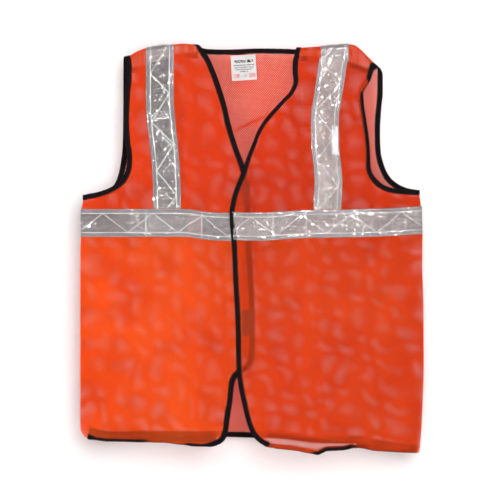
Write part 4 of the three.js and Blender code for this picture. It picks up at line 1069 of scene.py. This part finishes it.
# ------------------------------------------------------------------ bindings
def u_section(width, th=0.55, gap=0.42):
    """Outer chain then inner chain of a folded tape, as (w, n) pairs, both from the outer tip round to the inner one."""
    o = gap + th
    outer = [(width, o), (width * 0.66, o + 0.12), (width * 0.33, o + 0.12), (0.6, o + 0.06), (-0.35, o * 0.72), (-0.75, 0.0),
             (-0.35, -o * 0.72), (0.6, -o - 0.06), (width * 0.33, -o - 0.12), (width * 0.66, -o - 0.12), (width, -o)]
    inner = [(width, gap), (width * 0.66, gap), (width * 0.33, gap), (0.8, gap), (0.1, gap * 0.8), (-0.1, 0.0),
             (0.1, -gap * 0.8), (0.8, -gap), (width * 0.33, -gap), (width * 0.66, -gap), (width, -gap)]
    return np.array(outer + inner[::-1])


def run(path, side, surface, width=None, first=None, last=None, dirs=None, seed=0, front=None):
    """Section stations along a path in a pattern plane; returns (stations, path, directions)."""
    path = np.asarray(path, float)
    d = normals2(path, side) if dirs is None else np.asarray(dirs, float)
    if first is not None:
        d[0] = first
    if last is not None:
        d[-1] = last
    n = len(path)
    wid = np.full(n, float(BIND_WIDTH)) if width is None else np.asarray(width, float)
    fro = wid if front is None else np.asarray(front, float)
    sec = u_section(9.0)
    s = lengths(path)
    out = np.zeros((n, len(sec), 3))
    pucker = 0.16 * np.sin(s * 1.55 + seed) + 0.22 * (noise(s / 9.0, seed + 0.0 * s, 21 + seed) - 0.5)
    edge = 0.9 * (noise(s / 14.0, seed + 0.0 * s, 31 + seed) - 0.5)
    for k, (w, nn) in enumerate(sec):
        wn = (fro if nn > 0 else wid) + edge
        w_ = np.where(w > 0.7, np.maximum(w / 9.0 * wn, min(w, 0.7)), w)
        n_ = nn + np.sign(nn) * (abs(nn) > 0.5) * pucker
        out[:, k] = surface(path[:, 0] + d[:, 0] * w_, path[:, 1] + d[:, 1] * w_, n_)
    return out, path, d


def finish_binding(name, parts, closed=False, material=None):
    st = np.concatenate([p[0] for p in parts])
    mid = st.mean(1)
    s = lengths(mid)
    m = st.shape[1]
    across = np.linspace(0, 44, m)
    uv = np.stack(np.broadcast_arrays(s[:, None], across[None, :]), -1)
    rows_ = []
    for a_, b_ in ((0, 1), (10, 9)):
        line = mix(st[:, a_], st[:, b_], 0.45)
        if closed:
            line = np.concatenate([line, line[:1]])
        rows_.append(line)
    return sweep(name, st, uv, material or BIND, closed, rows_, THREAD)


STEP_B = 3.0


def edge_path(edge, z0, z1, step=STEP_B):
    z = np.linspace(z0, z1, 900)
    return resample(np.stack([edge(z), z], -1), step)


BIND_PARTS = {}
# right front edge: from the hem corner up to the neck; the neck binding carries on
pr = edge_path(edge_r, 16.6, 722.4)
BIND_PARTS["right_front_edge"] = [run(pr, 1, U, seed=1, last=[-1, 0], width=np.full(len(pr), 9.4))]
pl = edge_path(edge_l, 14.0, 717.6)
wl = np.interp(pl[:, 1], [0, 40, 440, 500, 540, 640, 655, 680, 718], [9, 8.2, 8.2, 8.4, 6.5, 6.0, 6.6, 8.8, 8.6])
BIND_PARTS["left_front_edge"] = [run(pl, -1, O, width=wl, seed=2, last=[1, 0])]


def hem_path(hem, roll, x0, x1):
    x = np.linspace(x0, x1, 900)
    return resample(np.stack([x, hem(x) - BIND_WIDTH * roll(x)], -1), STEP_B)


ph = hem_path(hem_fr, roll_r, -296.5, -63.0)
BIND_PARTS["right_hem"] = [run(ph, 1, U, seed=3, width=np.full(len(ph), 22.0), front=np.full(len(ph), 8.6))]
ph = hem_path(hem_fl, roll_l, 29.0, 296.0)
BIND_PARTS["left_hem"] = [run(ph, 1, O, seed=4, width=np.full(len(ph), 11.0), front=np.full(len(ph), 8.6))]
xh = np.linspace(-296.5, 296, 1200)
pb_ = resample(np.stack([xh, hem_b(xh)], -1), STEP_B)
BIND_PARTS["back_hem"] = [run(pb_, 1, BZ, seed=5, width=9.5 + 3.5 * smooth((pb_[:, 0] - 10) / 20))]

# neck: right shoulder, back neck, left shoulder
parts = []
arch_up = ARCH[ARCH > 34][::-1]


def corner_path(side):
    sr = side == "r"
    tops, q0 = (NECK_TOP_R, cr) if sr else (NECK_TOP_L, cl)
    pts = []
    for d in arch_up:
        extra = max(0.0, q0 - float(q_deg(34))) * (1 - (d - 34) / 146)
        pts.append((float(np.interp(d, ANGLES, tops)), float(q_deg(d)) + extra))
    return pts


pts = corner_path("r")
q_top = FOLD_LENGTH + float(fold_at(-86.0)) - 720.6
pts = [(-84.6, max(q_top, FOLD_LENGTH + 1.2))] + pts
parts.append(run(pts, -1, B, dirs=[(-1, 0)] * len(pts), seed=1))
fan = [(-math.cos(a), -math.sin(a)) for a in np.radians(np.linspace(0, 90, 11))]
parts.append(run([(NECK_X[0], cr)] * len(fan), -1, B, dirs=fan, seed=1, width=np.full(len(fan), 8.6)))
xs = np.linspace(NECK_X[0] + 2.5, NECK_X[1] - 2.5, 56)
nq = np.stack([xs, neck_q(xs)], -1)
parts.append(run(nq, -1, B, dirs=[(0, -1)] * len(nq), seed=1, width=np.full(len(nq), 8.6)))
fan = [(math.sin(a), -math.cos(a)) for a in np.radians(np.linspace(0, 90, 11))]
parts.append(run([(NECK_X[1], cl)] * len(fan), -1, B, dirs=fan, seed=1, width=np.full(len(fan), 8.6)))
q_top = FOLD_LENGTH + float(fold_at(77.0)) - 715.8
pts = corner_path("l")[::-1] + [(77.0, max(q_top, FOLD_LENGTH + 1.4))]
parts.append(run(pts, -1, B, dirs=[(1, 0)] * len(pts), seed=1, width=np.linspace(8.6, 7.0, len(pts))))
BIND_PARTS["neck"] = parts


def armhole(side):
    sr = side == "r"
    s = -1 if sr else 1
    front_tab = ARM_FRONT_R if sr else ARM_FRONT_L
    out_f, out_b = (out_fr, out_br) if sr else (out_fl, out_bl)
    z0f, z1f = (466.0, 693.2) if sr else (474.8, 689.5)
    z0b = 466.0 if sr else 474.8
    zf = np.linspace(z0f, z1f, 900)
    pf = resample(np.stack([out_f(zf), zf], -1), STEP_B)
    F = U if sr else O
    shown = np.full(len(pf), 8.4)
    if not sr:
        shown = np.interp(pf[:, 1], [475, 505, 545, 640, 650, 655, 668, 674, 690], [8.6, 8.0, 6.2, 5.4, 5.2, 0.5, 0.5, 8.6, 8.6])
    res = [run(pf, (-1 if sr else 1), F, first=[0, -1], seed=7, front=shown)]
    tops = ARM_TOP_R if sr else ARM_TOP_L
    arch = [(float(np.interp(d, ANGLES, tops)), float(q_deg(d))) for d in ARCH[1:-1][::-1]]
    res.append(run(arch, 1, B, dirs=[(-s, 0)] * len(arch), seed=7))
    x_top = -231.6 if sr else 235.6
    z_top = float(fold_at(np.array(x_top)))
    zb = np.linspace(z_top, z0b, 900)
    pb = resample(np.stack([out_b(zb), zb], -1), STEP_B)
    res.append(run(pb, (1 if sr else -1), BZ, first=[-s, 0], last=[0, -1], seed=8))
    # round the side fold under the arm
    a, b = res[0][0][0], res[2][0][-1]
    fa, fb = F(pf[0, 0], pf[0, 1], 0), BZ(pb[-1, 0], pb[-1, 1], 0)
    cx, cy, r = (fa[0] + fb[0]) / 2, (fa[1] + fb[1]) / 2, (fb[1] - fa[1]) / 2
    sec = u_section(9.0)
    turn = []
    for deg in (15, 40, 65, 90, 115, 140, 165):
        t = math.radians(deg)
        turn.append(np.stack([cx + s * (r + sec[:, 1]) * math.sin(t), cy + (r + sec[:, 1]) * math.cos(t), mix(fb[2], fa[2], deg / 180) - sec[:, 0]], -1))
    res.append((np.stack(turn), None, None))
    return res


BIND_PARTS["right_armhole"] = armhole("r")
BIND_PARTS["left_armhole"] = armhole("l")
bind_objects = {k: finish_binding(k + "_binding_tape", v, closed=k.endswith("armhole")) for k, v in BIND_PARTS.items()}


# ------------------------------------------------------------------ reflective tape
def weld_distance(s, t, phase, cross, half=17.3, period=45.0):
    pp = np.abs(np.mod((s + phase) / period + 1.0, 2.0) - 1.0)
    tz = (2 * pp - 1) * half
    d = np.abs(t - tz) * 0.79
    d = np.minimum(d, np.abs(np.abs(t) - half))
    d = np.minimum(d, np.abs(np.abs(t) - 25.0))
    for c in cross:
        d = np.minimum(d, np.abs(s - c))
    return d


TAPES = {}


# painted light: these factors make some runs of tape darker and others lighter, copies of one tape standing in for how
# the light falls on each
LOOK = {
    "right_front_tape": dict(painted_light_tone=0.65, film=0.8), "waist_right": dict(painted_light_tone=0.76, film=1.0, pink=(193, 221)), "left_front_tape": dict(painted_light_tone=1.2, film=1.1, painted_glare=(98, 150, 11, 24)),
    "waist_left": dict(painted_light_tone=1.05, film=1.1),
}


def tape(name, surface, S, place, seed, phase=0.0, cross=()):
    """Backing and film on a run of tape. S: distances along; place(s, t) gives pattern coordinates."""
    look = LOOK.get(name, {})
    bm = tape_material(name + "_backing_m", phase, cross, look.get("painted_light_tone", 1.0), look.get("pink"))
    fm = film_material(name + "_film_m", phase, cross, look.get("painted_glare"), look.get("film", 1.0))
    t = np.linspace(-TAPE_HALF, TAPE_HALF, 29)
    ss, tt = np.meshgrid(S, t, indexing="ij")
    X, Q = place(ss, tt)
    uv = lambda *_: (ss, tt)
    back_o = sheet(name + "_backing", [(X, Q)], surface, 0.55, 0.85, bm, uv)
    d = weld_distance(ss, tt, phase, cross)
    puff = 1 - np.exp(-d / 3.0)
    folds = ridged(ss / 17 + tt / 40, tt / 15 - ss / 60, seed) ** 5
    folds2 = ridged(ss / 9 - tt / 22, tt / 11, seed + 3) ** 4
    wide = noise(ss / 13, tt / 13, seed + 5)
    h = 1.05 + puff * (0.7 * wide + 1.5 * folds + 0.8 * folds2)
    hh = h.reshape(-1)
    sewn = []
    for j in (1, 27):
        sewn.append(surface(mix(X[:, j], X[:, j + (-1 if j == 1 else 1)], 0.4), mix(Q[:, j], Q[:, j + (-1 if j == 1 else 1)], 0.4), h[:, j] + 0.1))
    film_o = sheet(name + "_film", [(X, Q)], lambda x, q, n: surface(x, q, (hh if n > 0 else hh - 0.18)), -1, 1, fm, uv, sewn, THREAD_W)
    TAPES[name] = (back_o, film_o)
    return back_o, film_o


def upright(name, surface, vert, waist, seam, seed, phase, cross=()):
    base = float(waist(vert(np.array(430.0)))) + TAPE_HALF + 0.6
    top_z = float(seam(vert(np.array(715.0))))
    n = int((top_z - base) / 2.0)
    S = np.linspace(0, top_z - base - 0.6, n)

    def place(s, t):
        z = base + s
        x = vert(z) + t
        # the lower end follows the waist tape, the upper end the seam
        lo_ = waist(x) + TAPE_HALF + 0.6
        hi_ = seam(x) - 0.05
        f = s / S[-1]
        return x, mix(lo_, hi_, f)

    return tape(name, surface, S, place, seed, phase, cross)


upright("right_front_tape", U, vert_r, waist_fr, seam_r, 41, 22.0)
upright("left_front_tape", O, vert_l, waist_fl, seam_l, 51, 4.0)


def back_upright(name, vert, seam, seed, phase):
    xt = float(vert(np.array(736.0)))
    base = float(waist_b(vert(np.array(430.0)))) + TAPE_HALF + 0.6
    zs = float(fold_at(np.array(xt)))
    end = FOLD_LENGTH + zs - float(seam(np.array(xt))) - 1.2
    total = (zs - base) + end
    n = int(total / 2.0)
    S = np.linspace(0, total, n)

    def place(s, t):
        q = s - (zs - base)
        z = np.minimum(base + s, 736.0)
        x = np.where(q < 0, vert(z), xt) + t
        lo_ = waist_b(x) + TAPE_HALF + 0.6 - fold_at(x)
        hi_ = FOLD_LENGTH + fold_at(x) - seam(x) - 0.05
        q = np.where(q < 0, mix(lo_, 0, (s / (zs - base))), mix(0, hi_, np.clip(q / end, 0, 1)))
        return x, q

    return tape(name, B, S, place, seed, phase)


back_upright("right_back_tape", vert_r, seam_r, 61, 10.0)
back_upright("left_back_tape", vert_l, seam_l, 71, 30.0)


def waist_run(name, surface, waist, x0, x1, seed, phase, cross=(), to_q=None):
    n = int(abs(x1 - x0) / 2.0)
    S = np.linspace(0, abs(x1 - x0), n)

    def place(s, t):
        x = x0 + s
        # run up to the side edges exactly
        z = waist(x) + t
        if to_q:
            return x, z - fold_at(x)
        return x, z

    return tape(name, surface, S, place, seed, phase, cross)


waist_run("waist_right", U, waist_fr, -308.9, float(edge_r(410.0)) - 5.0, 81, 309.6 - 35, (118.0, 218.6))
waist_run("waist_left", O, waist_fl, float(edge_l(411.0)) + 5.0, 306.9, 91, 12.0, (71.5, 131.6))
waist_run("waist_back", B, waist_b, -308.9, 306.9, 101, 7.0, (150.0, 452.0), to_q=True)

# ------------------------------------------------------------------ label
ang = math.radians(4.0)
u, v = np.meshgrid(np.linspace(0, 45.3, 31), np.linspace(0, 45.5, 31), indexing="ij")
cu, cv = u - 22.6, v - 45.5
curl = 1.1 * (1 - v / 45.5) ** 2 + 0.35 * np.sin(u / 8.0) * (1 - v / 45.5)
px = xm + cu * math.cos(ang) - cv * math.sin(ang) * 0.9
pz = LABEL["z1"] + cu * math.sin(ang) + cv * math.cos(ang) - 0.4
py = float(plain_back_y(np.array(xm), np.array(719.5))) - 2.4 - curl


def label_surface(i, j, n):
    i, j = np.clip(i, 0, 30), np.clip(j, 0, 30)
    a, b = np.round(i).astype(int), np.round(j).astype(int)
    return np.stack([px[a, b], py[a, b] - n, pz[a, b]], -1)


gi, gj = np.meshgrid(np.arange(31.0), np.arange(31.0), indexing="ij")
label_o = sheet("neck_label_cloth", [(gi, gj)], label_surface, -0.15, 0.15, LABEL_M, lambda X, Q: (u, v))


# ------------------------------------------------------------------ hook and loop
def patch(name, surface, corners, lo_, hi_):
    x00, x10, x01, x11, z0, z1 = corners
    a, b = np.meshgrid(np.linspace(0, 1, 25), np.linspace(0, 1, 43), indexing="ij")
    X = mix(mix(x00, x10, a), mix(x01, x11, a), b)
    Z = mix(z0, z1, b)
    edge_d = np.minimum(np.minimum(a, 1 - a) * 24, np.minimum(b, 1 - b) * 45)
    bump = 0.12 * ridged(X / 1.7, Z / 1.9, 5) * smooth(edge_d / 2)
    f = bump.reshape(-1)
    up = abs(hi_) > abs(lo_)

    def s(x, q, n):
        if n > 0:
            return surface(x, q, hi_ + (f if up else 0 * f))
        return surface(x, q, lo_ - (0 * f if up else f))

    return sheet(name, [(X, Z)], s, -1, 1, PILE, lambda *_: (X, Z))


patches = {
    "hook_upper_pile": patch("hook_upper_pile", O, (-28, -6, -15.5, -3, 446, 490), -1.5, -0.7),
    "hook_lower_pile": patch("hook_lower_pile", O, (-18.2, 5, -18, 5.2, 213, 258.5), -1.5, -0.7),
    "loop_upper_pile": patch("loop_upper_pile", U, (-27, -6, -23, -10, 446, 490), 1.45, 1.95),
    "loop_lower_pile": patch("loop_lower_pile", U, (-20, 3, -20, 2.8, 213, 258.5), 1.45, 1.95),
}


# ------------------------------------------------------------------ seams
def strip(name, surface, xs, zf, d0, d1, lo_, hi_, material):
    b = np.linspace(d0, d1, 7)
    X = np.repeat(xs[:, None], len(b), 1)
    Z = zf(xs)[:, None] + b[None, :]
    return sheet(name, [(X, Z)], surface, lo_, hi_, material)


seam_objs = {
    "right_shoulder_seam_tape": strip("right_shoulder_seam_tape", U, np.linspace(-219, -97, 60), seam_r, -9.5, 1.0, -1.25, -0.75, seam_material("seam_right", -207.0, -119.0)),
    "left_shoulder_seam_tape": strip("left_shoulder_seam_tape", O, np.linspace(88, 211, 60), seam_l, -9.5, 1.0, -1.25, -0.75, seam_material("seam_left", 100.0, 174.0)),
}


def side_seam(name, side):
    z = np.linspace(66, 440, 150)
    x = side(z)
    s = np.sign(x)
    w_ = np.linspace(0.6, 11, 7)
    X = x[:, None] - s[:, None] * w_[None, :]
    Z = np.repeat(z[:, None], 7, 1)
    wav = 0.35 * np.sin(Z / 6.0) * (w_[None, :] / 11)

    def surf(x_, z_, n):
        return np.stack([x_, n + wav.reshape(-1), z_], -1)

    return sheet(name, [(X, Z)], surf, -0.3, 0.3, MESH_B)


seam_objs["right_side_seam_cloth"] = side_seam("right_side_seam_cloth", side_r)
seam_objs["left_side_seam_cloth"] = side_seam("left_side_seam_cloth", side_l)

# ------------------------------------------------------------------ riding
HL = [j for j in frame["joints"] if j["name"] == "left_front_open"][0]
HR = [j for j in frame["joints"] if j["name"] == "right_front_open"][0]


def fold_blend(o, joint, sign):
    """Works out the joint's fold line across the front, then bakes the piece's placement into its mesh; the piece is
    not bent.
    """
    p, a = Vector(joint["pos_m"]), Vector(joint["axis"]).normalized()
    across = Vector((sign, 0, 0))
    across = (across - a * across.dot(a)).normalized()
    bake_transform(o)


CAD = set(frame["nodes"])


def stand(o, slot, *nodes):
    if nodes:
        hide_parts(*nodes)
    return o


def left(o, slot, *nodes):
    fold_blend(stand(o, slot, *nodes), HL, -1)


def right(o, slot, *nodes):
    fold_blend(stand(o, slot, *nodes), HR, 1)


def torso(o, slot, *nodes):
    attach(stand(o, slot, *nodes), "torso")


torso(pieces["back"], "mesh_cloth", "back_panel")
right(pieces["right"], "mesh_cloth", "right_front_panel", "right_front_flap")
left(pieces["left"], "mesh_cloth", "left_front_panel", "left_front_flap")
torso(bind_objects["neck"], "edge_binding", "neck_binding")
right(bind_objects["right_front_edge"], "edge_binding", "right_front_edge_binding")
left(bind_objects["left_front_edge"], "edge_binding", "left_front_edge_binding")
right(bind_objects["right_hem"], "edge_binding", "right_hem_binding", "right_flap_hem_binding")
left(bind_objects["left_hem"], "edge_binding", "left_hem_binding", "left_flap_hem_binding")
torso(bind_objects["back_hem"], "edge_binding", "back_hem_binding")
torso(bind_objects["right_armhole"], "edge_binding", "right_armhole_binding")
torso(bind_objects["left_armhole"], "edge_binding", "left_armhole_binding")
for n in ("right_front_tape", "left_front_tape", "right_back_tape", "left_back_tape"):
    torso(TAPES[n][0], "reflective_tape", n)
    torso(TAPES[n][1], "clear_film", n + "_film")
torso(TAPES["waist_back"][0], "reflective_tape", "waist_back_tape")
torso(TAPES["waist_back"][1], "clear_film", "waist_back_tape_film")
right(TAPES["waist_right"][0], "reflective_tape", "waist_right_tape", "waist_right_flap_tape")
right(TAPES["waist_right"][1], "clear_film", "waist_right_tape_film", "waist_right_flap_tape_film")
left(TAPES["waist_left"][0], "reflective_tape", "waist_left_tape", "waist_left_flap_tape")
left(TAPES["waist_left"][1], "clear_film", "waist_left_tape_film", "waist_left_flap_tape_film")
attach(stand(label_o, "label_cloth", "neck_label"), "label")
for n, body in (("hook_upper", "left_front"), ("hook_lower", "left_front"), ("loop_upper", "right_front"), ("loop_lower", "right_front")):
    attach(stand(patches[n + "_pile"], "hook_and_loop", n), body)
torso(seam_objs["right_shoulder_seam_tape"], "edge_binding", "right_shoulder_seam")
torso(seam_objs["left_shoulder_seam_tape"], "edge_binding", "left_shoulder_seam")
torso(seam_objs["right_side_seam_cloth"], "mesh_cloth", "right_side_seam")
torso(seam_objs["left_side_seam_cloth"], "mesh_cloth", "left_side_seam")

# ------------------------------------------------------------------ stage
blo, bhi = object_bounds()
wall_y = bhi.y + 0.008


def plane(name, points, material):
    me = bpy.data.meshes.new(name)
    me.from_pydata(points, [], [(0, 1, 2, 3)])
    me.materials.append(material)
    o = bpy.data.objects.new(name, me)
    bpy.context.scene.collection.objects.link(o)
    return o


def wall_material():
    k = Nodes("stage_wall")
    g = k.n("ShaderNodeNewGeometry")
    d = k.n("ShaderNodeBsdfDiffuse")
    k.put(d.inputs[0], (0.9, 0.9, 0.9, 1))
    em = k.n("ShaderNodeEmission")
    k.put(em.inputs[0], (1.0, 1.0, 1.0, 1))
    pos = k.n("ShaderNodeSeparateXYZ")
    k.put(pos.inputs[0], g.outputs["Position"])
    # painted light: the wall glows more in a box behind the vest, standing in for light coming through the mesh
    inside = k.math("MULTIPLY", k.step(k.math("ABSOLUTE", pos.outputs[0]), 0.19, 0.33, 1.0, 0.0), k.step(k.math("ABSOLUTE", k.math("SUBTRACT", pos.outputs[2], 0.37)), 0.28, 0.42, 1.0, 0.0))
    k.put(em.inputs[1], k.math("ADD", 0.06, k.math("MULTIPLY", inside, 0.12)))
    ad = k.n("ShaderNodeAddShader")
    k.put(ad.inputs[0], d.outputs[0])
    k.put(ad.inputs[1], em.outputs[0])
    tr = k.n("ShaderNodeBsdfTransparent")
    mx = k.n("ShaderNodeMixShader")
    k.put(mx.inputs[0], g.outputs["Backfacing"])
    k.put(mx.inputs[1], ad.outputs[0])
    k.put(mx.inputs[2], tr.outputs[0])
    k.put(k.out.inputs[0], mx.outputs[0])
    return k.m


def floor_material():
    k = Nodes("stage_floor")
    return k.surface((0.9, 0.9, 0.9, 1), 0.9)


plane("stage_wall", [(-6, wall_y, -0.12), (6, wall_y, -0.12), (6, wall_y, 6), (-6, wall_y, 6)], wall_material())
plane("stage_floor", [(-6, -8, -0.12), (6, -8, -0.12), (6, 8, -0.12), (-6, 8, -0.12)], floor_material())


def area(name, loc, target, size, power, diffuse=True, glossy=True, color=(1, 1, 1)):
    L = bpy.data.lights.new(name, "AREA")
    L.shape = "DISK"
    L.size, L.energy, L.color = size, power, color
    o = bpy.data.objects.new(name, L)
    o.location = loc
    o.rotation_mode = "QUATERNION"
    o.rotation_quaternion = (Vector(target) - Vector(loc)).to_track_quat("-Z", "Y")
    o.visible_diffuse, o.visible_glossy = diffuse, glossy
    bpy.context.scene.collection.objects.link(o)
    return o


world = bpy.data.worlds.new("studio")
bpy.context.scene.world = world
world.use_nodes = True
bg = world.node_tree.nodes["Background"]
bg.inputs[0].default_value = (1.0, 1.0, 1.0, 1)
bg.inputs[1].default_value = 0.25
key = area("key", (0.3, -2.4, 2.0), (0, 0, 0.38), 0.55, 40)
fill = area("fill", (-1.15, -1.1, 0.3), (0, 0, 0.3), 0.5, 14.0, glossy=False)
back_light = area("wall_light", (0.45, -2.6, 1.15), (0, 0, 0.38), 2.8, 80)
area("glint_a", (0.35, -3.0, 1.25), (0, 0, 0.45), 0.12, 30, diffuse=False)
area("glint_b", (-0.75, -3.0, 0.75), (0, 0, 0.4), 0.1, 26, diffuse=False)
area("glint_c", (0.2, -3.0, -0.3), (0, 0, 0.4), 0.1, 18, diffuse=False)
area("glint_d", (0.9, -2.6, 0.5), (0, 0, 0.4), 0.1, 20, diffuse=False)
lit, stage = bpy.data.collections.new("lit_vest"), bpy.data.collections.new("lit_stage")
for o in bpy.data.objects:
    if o.type == "MESH":
        (stage if o.name.startswith("stage_") else lit).objects.link(o)
key.light_linking.receiver_collection = fill.light_linking.receiver_collection = lit
back_light.light_linking.receiver_collection = stage

scene = bpy.context.scene
scene.cycles.diffuse_bounces, scene.cycles.transparent_max_bounces = 9, 16
scene.view_settings.view_transform = "Standard"
scene.view_settings.look = "None"
cam_data = bpy.data.cameras.new("camera")
cam = bpy.data.objects.new("camera", cam_data)
scene.collection.objects.link(cam)
scene.camera = cam
cam_data.sensor_width = 36
cam_data.lens = 240
cam_data.clip_end = 100
cam.location = (-0.0036, -6.015, 0.3672)
cam.rotation_mode = "QUATERNION"
cam.rotation_quaternion = Vector((0, 1, 0)).to_track_quat("-Z", "Z")
